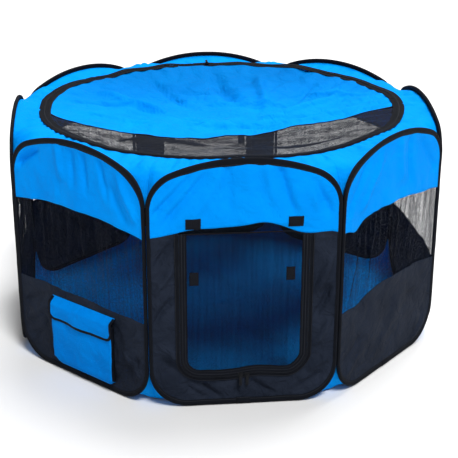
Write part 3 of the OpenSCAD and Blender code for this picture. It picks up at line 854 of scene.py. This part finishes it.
# ---------------------------------------------------------------- doors
def ribbon(k, curve, a, b, d, t, nv=4, wave=0.0, seed=1, on=False):
    """Flat strip beside an open curve in wall coordinates, from offset a to b (positive = right of travel)."""
    g = np.gradient(curve, axis=0)
    g = g / np.maximum(np.linalg.norm(g, axis=1, keepdims=True), 1e-12)
    nrm = np.stack([g[:, 1], -g[:, 0]], 1)
    s = np.concatenate([[0], np.cumsum(np.linalg.norm(np.diff(curve, axis=0), axis=1))])
    off = np.linspace(a, b, nv)
    U = curve[:, None, 0] + nrm[:, None, 0] * off
    Z = curve[:, None, 1] + nrm[:, None, 1] * off
    D = d + wave * noise(s / 0.03, 0.2, seed)[:, None] * np.ones_like(U) + (bulge(k, U, Z) if on else 0)
    return slab(W(k, U, Z, D), t, uv=np.stack([np.repeat(s[:, None], nv, 1), np.repeat((off - a)[None], len(s), 0)], -1), towards=normal(k))


def teeth(k, curve, d, pitch=0.0028, size=(0.0017, 0.0052, 0.0011)):
    s = np.concatenate([[0], np.cumsum(np.linalg.norm(np.diff(curve, axis=0), axis=1))])
    q = np.arange(0.004, s[-1] - 0.004, pitch)
    u, z = np.interp(q, s, curve[:, 0]), np.interp(q, s, curve[:, 1])
    u2, z2 = np.interp(q + 0.0005, s, curve[:, 0]), np.interp(q + 0.0005, s, curve[:, 1])
    c = W(k, u, z, d)
    al = W(k, u2, z2, d) - c
    al = al / np.linalg.norm(al, axis=1, keepdims=True)
    out = np.broadcast_to(normal(k), c.shape)
    ac = np.cross(out, al)
    return boxes(c, al, ac, out, size)


def make_door(k):
    side = NAMES[k]
    ends = (0.4443, 0.4360) if k == 0 else (0.4443, 0.4443)
    line = u_curve(DOOR_HW, DOOR_LOW, ends, DOOR_R)
    # wall half of the zip, with the teeth
    tapev = ribbon(k, line, 0.0001, 0.0090, 0.0016, 0.0009, nv=6, wave=0.0005, seed=301, on=True)
    piping = ribbon(k, line, 0.0080, 0.0104, 0.0022, 0.0016, nv=3, wave=0.0004, seed=302, on=True)
    v, f, uv = join([tapev, piping])
    n_tape = len(f)
    tv, tf, tu = teeth(k, line, 0.0020)
    v, f, uv = join([(v, f, uv), (tv, tf, tu)])
    z = mesh_object(side + "_zip_tape", v, f, [ZIPT, TEETH], uv=uv)
    idx = np.zeros(len(z.data.polygons), np.int32)
    idx[n_tape:] = 1
    z.data.polygons.foreach_set("material_index", idx)
    fit(z, side + "_wall", side + "_zip")
    # door: mesh window, cloth border, its half of the zip
    body = side + "_door"
    hw, low, top = DOOR_HW - 0.0145, DOOR_LOW + 0.0155, DOOR_TOP - 0.0050
    r = 0.026
    nu, nv = 72, 72
    s = np.linspace(-1, 1, nu)
    u = (hw + 0.004) * np.sin(s * math.pi / 2)
    q = np.maximum(np.abs(u) - (hw + 0.004 - r), 0)
    zl = low - 0.004 + r - np.sqrt(np.maximum(r * r - q * q, 0)) + door_wave(u)
    U = np.repeat(u[:, None], nv, 1)
    Z = zl[:, None] + (top - zl)[:, None] * np.linspace(0, 1, nv)
    e = np.minimum.reduce([hw + 0.004 - np.abs(U), Z - low + 0.004, top - Z])
    D = ss(0, 0.07, e) * (0.0030 * fbm(U / 0.10 + k, Z / 0.16, 401) - 0.003) + ss(0.0, 0.05, e) * (crease(U, Z, (-0.13, 0.40), (0.02, 0.30), 0.018, 0.004) + crease(U, Z, (0.12, 0.12), (-0.05, 0.22), 0.02, -0.003))
    v, f, uv = slab(W(k, U, Z, D), 0.0007, uv=np.stack([U, Z], -1), towards=normal(k))
    # the door window uses the door net's darker colour, which is painted shade
    m = mesh_object(side + "_door_net", v, f, DOOR_NET_SHADED, uv=uv)
    fit(m, body, side + "_door_mesh")
    cut(m, W(k, U, Z, 0 * U), size=(top - float(zl.min()), 2 * hw + 0.008))
    inner = u_curve(DOOR_HW - 0.0012, DOOR_LOW + 0.0012, ends, DOOR_R - 0.001)
    border = ribbon(k, inner, -0.0155, -0.0062, 0.0012, 0.0014, nv=6, wave=0.0005, seed=310)
    ztape = ribbon(k, inner, -0.0090, 0.0010, 0.0021, 0.0009, nv=4, wave=0.0004, seed=311)
    edge = ribbon(k, inner, -0.0166, -0.0140, 0.0019, 0.0016, nv=3, wave=0.0007, seed=312)
    u = np.linspace(-DOOR_HW + 0.002, DOOR_HW - 0.002, 40)
    UU = np.repeat(u[:, None], 5, 1)
    ZZ = np.minimum(DOOR_TOP - 0.0042, seam_high(k, u) - 0.0042)[:, None] - np.linspace(0.0036, 0, 5)
    headv = slab(W(k, UU, ZZ, 0.0012 + 0.0004 * noise(UU / 0.03, 0.3, 9)), 0.0014, uv=np.stack([UU, np.repeat(np.linspace(0, 0.0036, 5)[None], 40, 0)], -1), towards=normal(k))
    v, f, uv = join([border, ztape, edge, headv])
    b = mesh_object(side + "_door_frame", v, f, TRIM, uv=uv)
    fit(b, body, side + "_door_border")


def patch(name, k, body, node, centres, w, h, d):
    """Sewn hook-and-loop squares: soft-edged pads with a stitched border."""
    parts = []
    for cu, cz in centres:
        n = 11
        s = np.linspace(-1, 1, n)
        U = cu + np.repeat((s * w / 2)[:, None], n, 1)
        Z = cz + np.repeat((s * h / 2)[None], n, 0)
        e = np.minimum(w / 2 - np.abs(U - cu), h / 2 - np.abs(Z - cz))
        D = d(U, Z) + 0.0010 * ss(0, 0.003, e) - 0.0006 * np.exp(-((e - 0.0035) / 0.0010) ** 2) + 0.0004 * noise(U / 0.012, Z / 0.012, 77)
        parts.append(slab(W(k, U, Z, D), 0.0012, uv=np.stack([U, Z], -1), towards=normal(k)))
    v, f, uv = join(parts)
    ob = mesh_object(name, v, f, PATCH, uv=uv)
    fit(ob, body, node)
    return ob


# ---------------------------------------------------------------- pocket
def make_pocket():
    k, cu = 7, 0.012
    hw, low, mouth = 0.105, 0.018, 0.182
    n, m = 46, 36
    s, t = np.linspace(-1, 1, n), np.linspace(0, 1, m)
    S, T = np.meshgrid(s, t, indexing="ij")
    # cross-section: gusset out from the wall, then the face
    us = np.sign(S) * (1 - (1 - np.minimum(np.abs(S) / 0.86, 1)) ** 1.0) * hw
    rise = np.where(np.abs(S) > 0.86, (1 - np.abs(S)) / 0.14, 1.0)
    floor_rise = ss(0.0, 0.10, T)
    Z = low + (mouth - low) * T
    puff = 0.003 * np.cos(us / hw * math.pi / 2) * np.sin(np.clip(T * 1.15, 0, 1) * math.pi)
    sag = 0.0025 * fbm(us / 0.05, Z / 0.06, 500)
    D = bulge(k, cu + us, Z) * (1 - rise) + 0.0034 + (0.0110 + puff + sag * ss(0, .3, rise)) * np.sqrt(np.clip(rise, 0, 1)) * np.sqrt(floor_rise)
    D = D - 0.004 * ss(0.75, 1.0, T) * np.cos(us / hw * math.pi / 2)
    corner = 0.012 * ss(0.80, 1.0, np.abs(us) / hw) * (1 - ss(0.0, 0.16, T))
    v, f, uv = slab(W(k, cu + us, Z + corner, D), 0.0010, uv=np.stack([us, Z], -1), towards=normal(k))
    # dark trim-coloured faces down the pouch's two side edges, where it meets the wall
    ob = mesh_object("pocket_bag", v, f, [POUCH, TRIM], uv=uv)
    idx = np.array([1 if abs(np.mean(uv[list(q), 0])) > hw - 0.0006 else 0 for q in f], np.int32)
    ob.data.polygons.foreach_set("material_index", idx)
    fit(ob, "front_left_wall", "pocket_pouch")
    # flap
    top, drop = 0.2031, 0.0591
    fw = hw + 0.003
    ns, nt = 44, 26
    s, t = np.linspace(-1, 1, ns), np.linspace(0, 1, nt)

    def surface(U, T):
        r = 0.020
        lowz = top - drop
        x = np.abs(U)
        cut_z = np.where(x > fw - r, r - np.sqrt(np.maximum(r * r - (x - (fw - r)) ** 2, 0)), 0.0)
        Zf = top - (drop - cut_z) * T
        D = np.maximum(bulge(k, cu + U, Zf), 0.0) * (1 - ss(0.05, 0.3, T)) + 0.0028 + 0.0142 * ss(0.0, 0.34, T) + 0.0022 * np.sin(T * 2.6) + 0.0018 * fbm(U / 0.06, Zf / 0.05, 520) * ss(0.1, .4, T) + 0.002 * np.cos(U / fw * 5.0) * ss(0.5, 1, T)
        return Zf, D

    U, T = np.meshgrid(fw * np.sin(s * math.pi / 2), t, indexing="ij")
    Zf, D = surface(U, T)
    v, f, uv = slab(W(k, cu + U, Zf, D), 0.0011, uv=np.stack([U, Zf], -1), towards=normal(k))
    flap = mesh_object("pocket_flap_cloth", v, f, POUCH, uv=uv)
    fit(flap, "pocket_flap", "pocket_flap")
    # dark binding on the flap's two sides and lower edge
    edge = [(-fw, tt) for tt in np.linspace(0.05, 1, 14, endpoint=False)]
    edge += [(uu, 1.0) for uu in fw * np.sin(np.linspace(-1, 1, 46) * math.pi / 2)]
    edge += [(fw, tt) for tt in np.linspace(1, 0.05, 15)[1:]]
    eu, et = np.array([e[0] for e in edge]), np.array([e[1] for e in edge])
    ez, ed = surface(eu, et)
    pth = W(k, cu + eu, ez, ed)
    tan = np.gradient(pth, axis=0)
    tan = tan / np.linalg.norm(tan, axis=1, keepdims=True)
    nrm = np.broadcast_to(normal(k), pth.shape)
    inward = np.cross(nrm, tan)
    inward = inward / np.linalg.norm(inward, axis=1, keepdims=True)
    mid = W(k, cu, top - drop * 0.4, 0.012) - pth
    inward = np.where((inward * mid).sum(1, keepdims=True) < 0, -inward, inward)
    up = np.cross(tan, inward)
    pr = [(-0.0012, 0.0), (-0.0006, -0.0018), (0.0040, -0.0017), (0.0058, -0.0012), (0.0060, 0.0), (0.0058, 0.0012), (0.0040, 0.0017), (-0.0006, 0.0018)]
    v, f, uv = sweep(pth, inward, up, pr, closed=False)
    hem = mesh_object("pocket_flap_binding", v, f, TRIM, uv=uv)
    welded(hem)
    fit(hem, "pocket_flap")


# ---------------------------------------------------------------- roof
def arc_path(n=49, inward=0.0085):
    """Along the inner edge of a hoop's binding from one seam to the next: wall coordinates."""
    i0 = int(np.argmin(np.abs(PATH[:, 0] - HW) + np.abs(PATH[:, 1] - ZJT)))
    i1 = int(np.argmin(np.abs(PATH[:, 0] + HW) + np.abs(PATH[:, 1] - ZJT)))
    seg = (PATH + INW * inward)[i0:i1 + 1][::-1]
    s = np.concatenate([[0], np.cumsum(np.linalg.norm(np.diff(seg, axis=0), axis=1))])
    q = np.linspace(0, s[-1], n)
    return np.interp(q, s, seg[:, 0]), np.interp(q, s, seg[:, 1])


def rim_z(phi):
    """Height of the lid's edge: it wanders, and lies lower at the back."""
    a = (np.degrees(phi) + 90 + 22.5) % 45 - 22.5
    back = np.maximum(np.sin(phi), 0)
    wander = 0.0024 * np.sin(7 * phi + 1.0) + 0.0016 * np.sin(15 * phi + 0.3)
    dip = -0.009 * np.exp(-((phi % (2 * math.pi) - 1.72) / 0.10) ** 2) - 0.006 * np.exp(-((phi % (2 * math.pi) - 2.25) / 0.08) ** 2)
    return ROOF_Z - 0.001 - 0.003 * (a / 22.5) ** 2 + 0.003 * back + wander * (0.5 + 0.9 * back) + dip


def roof_polar(r, phi, z):
    return np.stack([r * np.cos(phi), r * np.sin(phi), z], -1)


def rim_r(phi, r):
    """The zip line wanders a few millimetres."""
    back = np.maximum(np.sin(phi), 0)
    return r + (0.0034 * np.sin(5 * phi + 0.7) + 0.0024 * np.sin(11 * phi + 2.0)) * (0.6 + 0.8 * back) + 0.0030 * back * np.sin(19 * phi + 0.5)


def make_roof_sector(k):
    name = NAMES[k]
    n, m = 97, 26
    u, z = arc_path(n)
    O = W(k, u, z, -0.0026)
    th0 = math.radians(45 * k - 90)
    jl = np.array([(RHO - 0.012) * math.cos(th0 - math.radians(22.5)), (RHO - 0.012) * math.sin(th0 - math.radians(22.5)), ZJT - 0.006])
    jr = np.array([(RHO - 0.012) * math.cos(th0 + math.radians(22.5)), (RHO - 0.012) * math.sin(th0 + math.radians(22.5)), ZJT - 0.006])
    end = np.abs(np.linspace(-1, 1, n))[:, None]
    wj = ss(0.90, 1.0, end)
    O = O * (1 - wj) + np.where(np.linspace(-1, 1, n)[:, None] < 0, jl, jr) * wj
    f = np.sign(u) * np.minimum(np.abs(u) / (HW - 0.0085), 1)
    phi = th0 + np.radians(22.5) * f
    phi[0], phi[-1] = th0 - math.radians(22.5), th0 + math.radians(22.5)
    rin = rim_r(phi, 0.4765)
    I = roof_polar(rin, phi, rim_z(phi))
    t = np.linspace(0, 1, m)[None, :, None]
    P = O[:, None] * (1 - t) + I[:, None] * t
    # across a corner the cloth stays level with the hoops' shoulders, then drops to the seam
    power = 1.0 + 5.5 * ss(0.40, 1.0, end)
    P[..., 2] = I[:, None, 2] + (O[:, None, 2] - I[:, None, 2]) * (1 - t[..., 0]) ** power
    flat = P.copy()
    tt = t[..., 0]
    phi2 = np.repeat(phi[:, None], m, 1)
    hump = 0.002 * ss(0.55, 1.0, end) * np.sin(np.pi * np.clip(tt * 1.1, 0, 1)) ** 2
    # small radial puckers from the zip seam, and the zip's tape pressing the edge down
    puck = 0.0042 * fbm(phi2 * 21, tt * 1.2 + k, 600, 2) * np.sin(np.pi * tt) + 0.0018 * np.sin(phi2 * 90 + 4 * np.sin(phi2 * 7)) * ss(0.45, 0.85, tt) * (1 - ss(0.92, 1.0, tt))
    P[..., 2] += hump + puck * (1 - ss(0.90, 1.0, end)) - 0.0035 * np.sin(np.pi * tt) * (1 - ss(0.5, 0.9, end)) - 0.0016 * ss(0.82, 0.97, tt)
    length = np.linalg.norm(O - I, axis=1)
    uv = np.stack([np.repeat((phi * 0.5)[:, None], m, 1), length[:, None] * tt], -1)
    v, f, uv = slab(P, 0.0010, uv=uv, towards=np.array([0, 0, 1.0]))
    ob = mesh_object("roof_cloth_" + name, v, f, BLUE, uv=uv)
    fit(ob, name + "_wall", "roof_ring")
    cut(ob, flat)
    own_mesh(ob)
    # the ring's half of the lid zip: more of its tape shows at the sides and back
    ph = np.linspace(th0 - math.radians(22.5), th0 + math.radians(22.5), 49)
    wide = 0.0055 + 0.0085 * ss(-0.85, -0.25, np.sin(ph))
    rr = np.linspace(0.0, 1.0, 5)[None] * wide[:, None] + 0.0001
    zw = 0.0009 * noise(ph * 16, 0.4, 640)[:, None]
    Pz = roof_polar(rim_r(ph, 0.4735)[:, None] + rr, ph[:, None] + 0 * rr, rim_z(ph)[:, None] + 0.0024 + zw + 0.02 * rr - (0.0034 * (1 - ss(-0.85, -0.25, np.sin(ph))) / wide)[:, None] * rr)
    v, f, uv = slab(Pz, 0.0010, uv=np.stack([np.repeat((ph * 0.48)[:, None], 5, 1), rr], -1), towards=np.array([0, 0, 1.0]))
    zp = mesh_object("roof_zip_" + name, v, f, ZIPT, uv=uv)
    fit(zp, name + "_wall", "roof_ring")
    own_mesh(zp)


SAG, SEAM_A, SEAM_B = 0.050, -0.045, -0.090


LID_FOLDS = [((-0.36, 0.22), (-0.10, 0.02), 0.016, 0.009), ((-0.20, 0.37), (-0.06, 0.12), 0.013, -0.009), ((0.02, 0.42), (0.06, 0.10), 0.020, -0.010), ((0.16, 0.37), (0.12, 0.05), 0.013, 0.008),
             ((0.38, 0.16), (0.10, -0.02), 0.014, 0.008), ((0.40, 0.02), (0.05, -0.08), 0.010, 0.005), ((-0.40, 0.02), (-0.08, -0.09), 0.010, 0.006), ((-0.12, -0.04), (0.22, -0.02), 0.009, -0.0055),
             ((-0.26, 0.10), (0.00, -0.02), 0.009, -0.0055), ((0.30, 0.26), (0.16, 0.06), 0.010, -0.006), ((-0.30, -0.25), (-0.02, -0.22), 0.016, 0.006), ((0.32, -0.22), (0.06, -0.27), 0.016, -0.006),
             ((-0.14, 0.28), (0.10, 0.20), 0.010, -0.005), ((-0.05, 0.16), (0.26, 0.10), 0.009, 0.005), ((-0.30, 0.02), (-0.12, -0.08), 0.007, -0.004), ((0.10, 0.02), (0.34, -0.03), 0.007, 0.004),
             ((-0.02, 0.02), (-0.10, -0.11), 0.007, 0.004), ((0.02, 0.00), (0.14, -0.09), 0.007, -0.004), ((-0.42, 0.10), (-0.24, 0.12), 0.010, -0.006), ((0.42, 0.12), (0.26, 0.16), 0.010, 0.006)]


def lid_z(x, y):
    r = np.hypot(x, y)
    phi = np.arctan2(y, x)
    q = np.clip(r / LID_R, 0, 1)
    rim = ROOF_Z + (rim_z(phi) - ROOF_Z) * q ** 6
    sag = SAG * (1 - q ** 2.2) * (1.0 - 0.25 * np.clip(y / LID_R, -1, 1))
    w = (1 - q ** 3) * (0.006 * fbm(x / 0.22, y / 0.16, 700) + 0.0030 * fbm(x / 0.09 + y / 0.2, y / 0.07, 720, 2))
    w = w + (1 - q ** 4) * (0.006 * np.sin(x / 0.085 + 1.0) * ss(-0.2, 0.35, y) * (1 - ss(0.3, 0.46, r)) * 0.6)
    for c in LID_FOLDS:
        w = w + (1 - q ** 8) * 1.9 * crease(x, y, *c)
    w = w + (1 - q ** 8) * (0.0036 * fbm(x / 0.075 - y / 0.15, y / 0.055 + x / 0.3, 733, 3))
    w = w + 0.0026 * np.sin(phi * 46 + 4 * np.sin(phi * 3)) * ss(0.74, 0.94, q) * (1 - ss(0.95, 1.0, q))
    return rim - sag + w


def seam_y(x, xe):
    return SEAM_A - 0.03 * x + (SEAM_B + 0.2 * x) * (1 - (x / xe) ** 2)


def lid_patch(front, n, m):
    xe = math.sqrt(LID_R ** 2 - SEAM_A ** 2)
    a0 = math.atan2(SEAM_A, -xe) % (2 * math.pi)
    a1 = math.atan2(SEAM_A, xe)
    if front:
        al = np.linspace(a0, a1 + 2 * math.pi, n)
    else:
        al = np.linspace(a0, a1, n)
    R = rim_r(al, 0.4630)
    ax, ay = R * np.cos(al), R * np.sin(al)
    sx = xe * np.sin(np.linspace(-1, 1, n) * math.pi / 2) * 0.985
    sy = seam_y(sx, xe)
    t = np.linspace(0, 1, m)
    X = sx[:, None] + (ax - sx)[:, None] * t
    Y = sy[:, None] + (ay - sy)[:, None] * t
    return X, Y


def lid_piece(ob, *nodes):
    fit(ob, "lid", *nodes)
    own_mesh(ob)


def make_lid():
    up = np.array([0, 0, 1.0])
    X, Y = lid_patch(False, 150, 90)
    P = np.stack([X, Y, lid_z(X, Y)], -1)
    v, f, uv = slab(P, 0.0010, uv=np.stack([X, Y], -1), towards=up)
    c = mesh_object("lid_cloth", v, f, COVER, uv=uv)
    cut(c, np.stack([X, Y, 0 * X], -1))
    lid_piece(c, "lid_cover")
    X, Y = lid_patch(True, 130, 44)
    P = np.stack([X, Y, lid_z(X, Y)], -1)
    v, f, uv = slab(P, 0.0008, uv=np.stack([X, Y], -1), towards=up)
    g = mesh_object("lid_net", v, f, ROOFNET, uv=uv)
    cut(g, np.stack([X, Y, 0 * X], -1))
    lid_piece(g, "lid_mesh")
    # bound seam between cloth and mesh
    xe = math.sqrt(LID_R ** 2 - SEAM_A ** 2)
    sx = np.linspace(-xe * 0.985, xe * 0.985, 120)
    sy = seam_y(sx, xe)
    off = np.linspace(-0.0022, 0.0022, 4)
    Xs, Ys = np.repeat(sx[:, None], 4, 1), sy[:, None] + off[None]
    P = np.stack([Xs, Ys, lid_z(Xs, Ys) + 0.0012 + 0.0005 * noise(Xs / 0.02, 0.3, 740)], -1)
    v, f, uv = slab(P, 0.0016, uv=np.stack([Xs, off[None] + 0 * Xs + 0.0022], -1), towards=up)
    b = mesh_object("lid_seam_binding", v, f, TRIM, uv=uv)
    lid_piece(b, "lid_cover")
    # the lid's half of the zip, with the teeth
    ph = np.linspace(0, 2 * math.pi, 320, endpoint=False)
    ph = np.append(ph, 2 * math.pi - 1e-4)
    rr = np.linspace(-0.0165, -0.0001, 5)
    zw = 0.0011 * noise(np.cos(ph) * 8, np.sin(ph) * 8, 641)[:, None]
    Rl = rim_r(ph, 0.4735)
    inner = np.stack([(Rl[:, None] + rr) * np.cos(ph)[:, None], (Rl[:, None] + rr) * np.sin(ph)[:, None]], -1)
    zl = rim_z(ph)[:, None] + 0.0020 + zw + 0.14 * rr[None] * 1.0
    tapev = slab(np.concatenate([inner, zl[..., None]], -1), 0.0010, uv=np.stack([np.repeat((ph * 0.47)[:, None], 5, 1), np.repeat((rr + 0.0165)[None], len(ph), 0)], -1), towards=up)
    q = np.arange(0, 2 * math.pi, 0.0034 / 0.4735)
    c = roof_polar(rim_r(q, 0.4737), q, rim_z(q) + 0.0022)
    c2 = roof_polar(rim_r(q + 0.001, 0.4737), q + 0.001, rim_z(q + 0.001) + 0.0022)
    al = (c2 - c) / np.linalg.norm(c2 - c, axis=1, keepdims=True)
    out = np.broadcast_to(up, c.shape)
    ac = np.cross(out, al)
    tv = boxes(c, al, ac, out, (0.0021, 0.0060, 0.0012))
    v, f, uv = join([tapev, tv])
    z = mesh_object("lid_zip_tape", v, f, [ZIPT, TEETH], uv=uv)
    idx = np.zeros(len(z.data.polygons), np.int32)
    idx[len(tapev[1]):] = 1
    z.data.polygons.foreach_set("material_index", idx)
    lid_piece(z, "lid_zip")


# ---------------------------------------------------------------- floor
def make_floor_sector(k):
    name = NAMES[k]
    i0 = int(np.argmin(np.abs(PATH[:, 0] + HW) + np.abs(PATH[:, 1] - ZJB)))
    i1 = int(np.argmin(np.abs(PATH[:, 0] - HW) + np.abs(PATH[:, 1] - ZJB)))
    seg = np.concatenate([PATH[i0:], PATH[:i1 + 1]])
    s = np.concatenate([[0], np.cumsum(np.linalg.norm(np.diff(seg, axis=0), axis=1))])
    n, m = 49, 26
    q = np.linspace(0, s[-1], n)
    u, z = np.interp(q, s, seg[:, 0]), np.interp(q, s, seg[:, 1])
    O = W(k, u, z, -0.0040)
    th0 = math.radians(45 * k - 90)
    e = np.abs(np.linspace(-1, 1, n))[:, None]
    wj = ss(0.82, 1.0, e)
    J = [np.array([(RHO - 0.009) * math.cos(th0 + sg), (RHO - 0.009) * math.sin(th0 + sg), ZJB]) for sg in (-math.radians(22.5), math.radians(22.5))]
    O = O * (1 - wj) + np.where(np.linspace(-1, 1, n)[:, None] < 0, J[0], J[1]) * wj
    t = np.concatenate([np.linspace(0, 0.09, 10), np.linspace(0.12, 0.9985, m - 10)])
    XY = O[:, None, :2] * (1 - t)[None, :, None]
    zz = 0.0022 + (O[:, 2:3] - 0.0022) * np.clip(1 - t / 0.055, 0, 1)[None] ** 1.25
    zz = zz + ss(0.05, 0.2, t)[None] * np.abs(0.0035 * fbm(XY[..., 0] / 0.14, XY[..., 1] / 0.14, 800, 3))
    P = np.concatenate([XY, zz[..., None]], -1)
    flat = P.copy()
    v, f, uv = slab(P, 0.0012, uv=P[..., :2], towards=np.array([0, 0, 1.0]))
    ob = mesh_object("floor_sheet_" + name, v, f, FLOOR, uv=uv)
    fit(ob, name + "_wall", "floor_cloth")
    cut(ob, flat)
    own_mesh(ob)


# ---------------------------------------------------------------- build
for k in range(8):
    name = NAMES[k]
    make_sleeve(k)
    make_band(k, "upper", lambda u, k=k: seam_high(k, u) - 0.003, lambda u: z_top(u) - 0.0015, BLUE, 0.0011, 34, 0.0011)
    if k in (0, 4):
        make_surround(k)
        make_door(k)
    else:
        make_band(k, "mesh", lambda u, k=k: seam_low(k, u) - 0.003, lambda u, k=k: seam_high(k, u) + 0.004, NET, 0.0007, 36)
        make_band(k, "lower", lambda u: z_low(u) + 0.0015, lambda u, k=k: seam_low(k, u), BLACK, 0.0012, 36, 0.0010)
    make_roof_sector(k)
    make_floor_sector(k)

for k, side in ((0, "front"), (4, "back")):
    patch(side + "_wall_patches", k, side + "_wall", side + "_wall_tabs", [(-0.118, 0.4680), (0.117, 0.4680)], 0.035, 0.026, lambda U, Z, k=k: bulge(k, U, Z) + 0.0024)
    patch(side + "_door_patches", k, side + "_door", side + "_door_tabs", [(-0.117, 0.332), (0.108, 0.338)], 0.021, 0.033, lambda U, Z: 0.0020 + 0 * U)

make_pocket()
make_lid()

for n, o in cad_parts.items():
    if n.startswith("hoop_"):
        o.data.materials.clear()
        o.data.materials.append(WIRE)
    elif n == "lid_slider":
        me = o.data
        co = [tuple(o.matrix_world @ v.co) for v in me.vertices]
        sl = mesh_object("lid_pull", co, [tuple(q.vertices) for q in me.polygons], SLIDE, uv=np.array(co)[:, :2], smooth=False)
        fit(sl, "lid_slider", "lid_slider")
        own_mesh(sl)
    elif "slider" in n:
        o.data.materials.clear()
        o.data.materials.append(SLIDE)

# ---------------------------------------------------------------- floor, light, camera
def studio():
    me = bpy.data.meshes.new("ground")
    R = 45.0
    me.from_pydata([(-R, -R, -0.0015), (R, -R, -0.0015), (R, R, -0.0015), (-R, R, -0.0015)], [], [(0, 1, 2, 3)])
    g = bpy.data.objects.new("ground", me)
    scene.collection.objects.link(g)
    m, nt, b = nodes_of("pale_floor")
    b.inputs["Base Color"].default_value = (0.74, 0.74, 0.74, 1)
    b.inputs["Roughness"].default_value = 0.9
    b.inputs["Specular IOR Level"].default_value = 0.1
    me.materials.append(m)
    w = bpy.data.worlds.new("studio")
    scene.world = w
    w.use_nodes = True
    bg = w.node_tree.nodes["Background"]
    bg.inputs["Color"].default_value = (1, 1, 1, 1)
    bg.inputs["Strength"].default_value = 0.32

    def sun(name, direction, strength, angle):
        from mathutils import Vector
        l = bpy.data.lights.new(name, "SUN")
        l.energy = strength
        l.angle = math.radians(angle)
        o = bpy.data.objects.new(name, l)
        scene.collection.objects.link(o)
        o.rotation_euler = Vector(direction).to_track_quat("-Z", "Y").to_euler()

    sun("front", (-0.18, 0.52, -0.82), 2.9, 16)
    sun("top", (-0.24, -0.40, -0.90), 2.8, 34)


def camera():
    az, el, dist = math.radians(-5.54), math.radians(20.41), 5.592 * AP
    t = np.array([0, 0, 0.305])
    p = t + dist * np.array([math.cos(el) * math.sin(az), -math.cos(el) * math.cos(az), math.sin(el)])
    c = bpy.data.cameras.new("camera")
    c.sensor_width = 36.0
    c.lens = 1094.7 / 458 * 36.0
    c.shift_x = 7.4 / 458
    c.shift_y = -23.0 / 458
    c.clip_end = 60
    o = bpy.data.objects.new("camera", c)
    scene.collection.objects.link(o)
    from mathutils import Vector
    o.location = p
    o.rotation_euler = Vector(t - p).to_track_quat("-Z", "Y").to_euler()
    scene.camera = o


studio()
camera()
scene.view_settings.view_transform = "Standard"
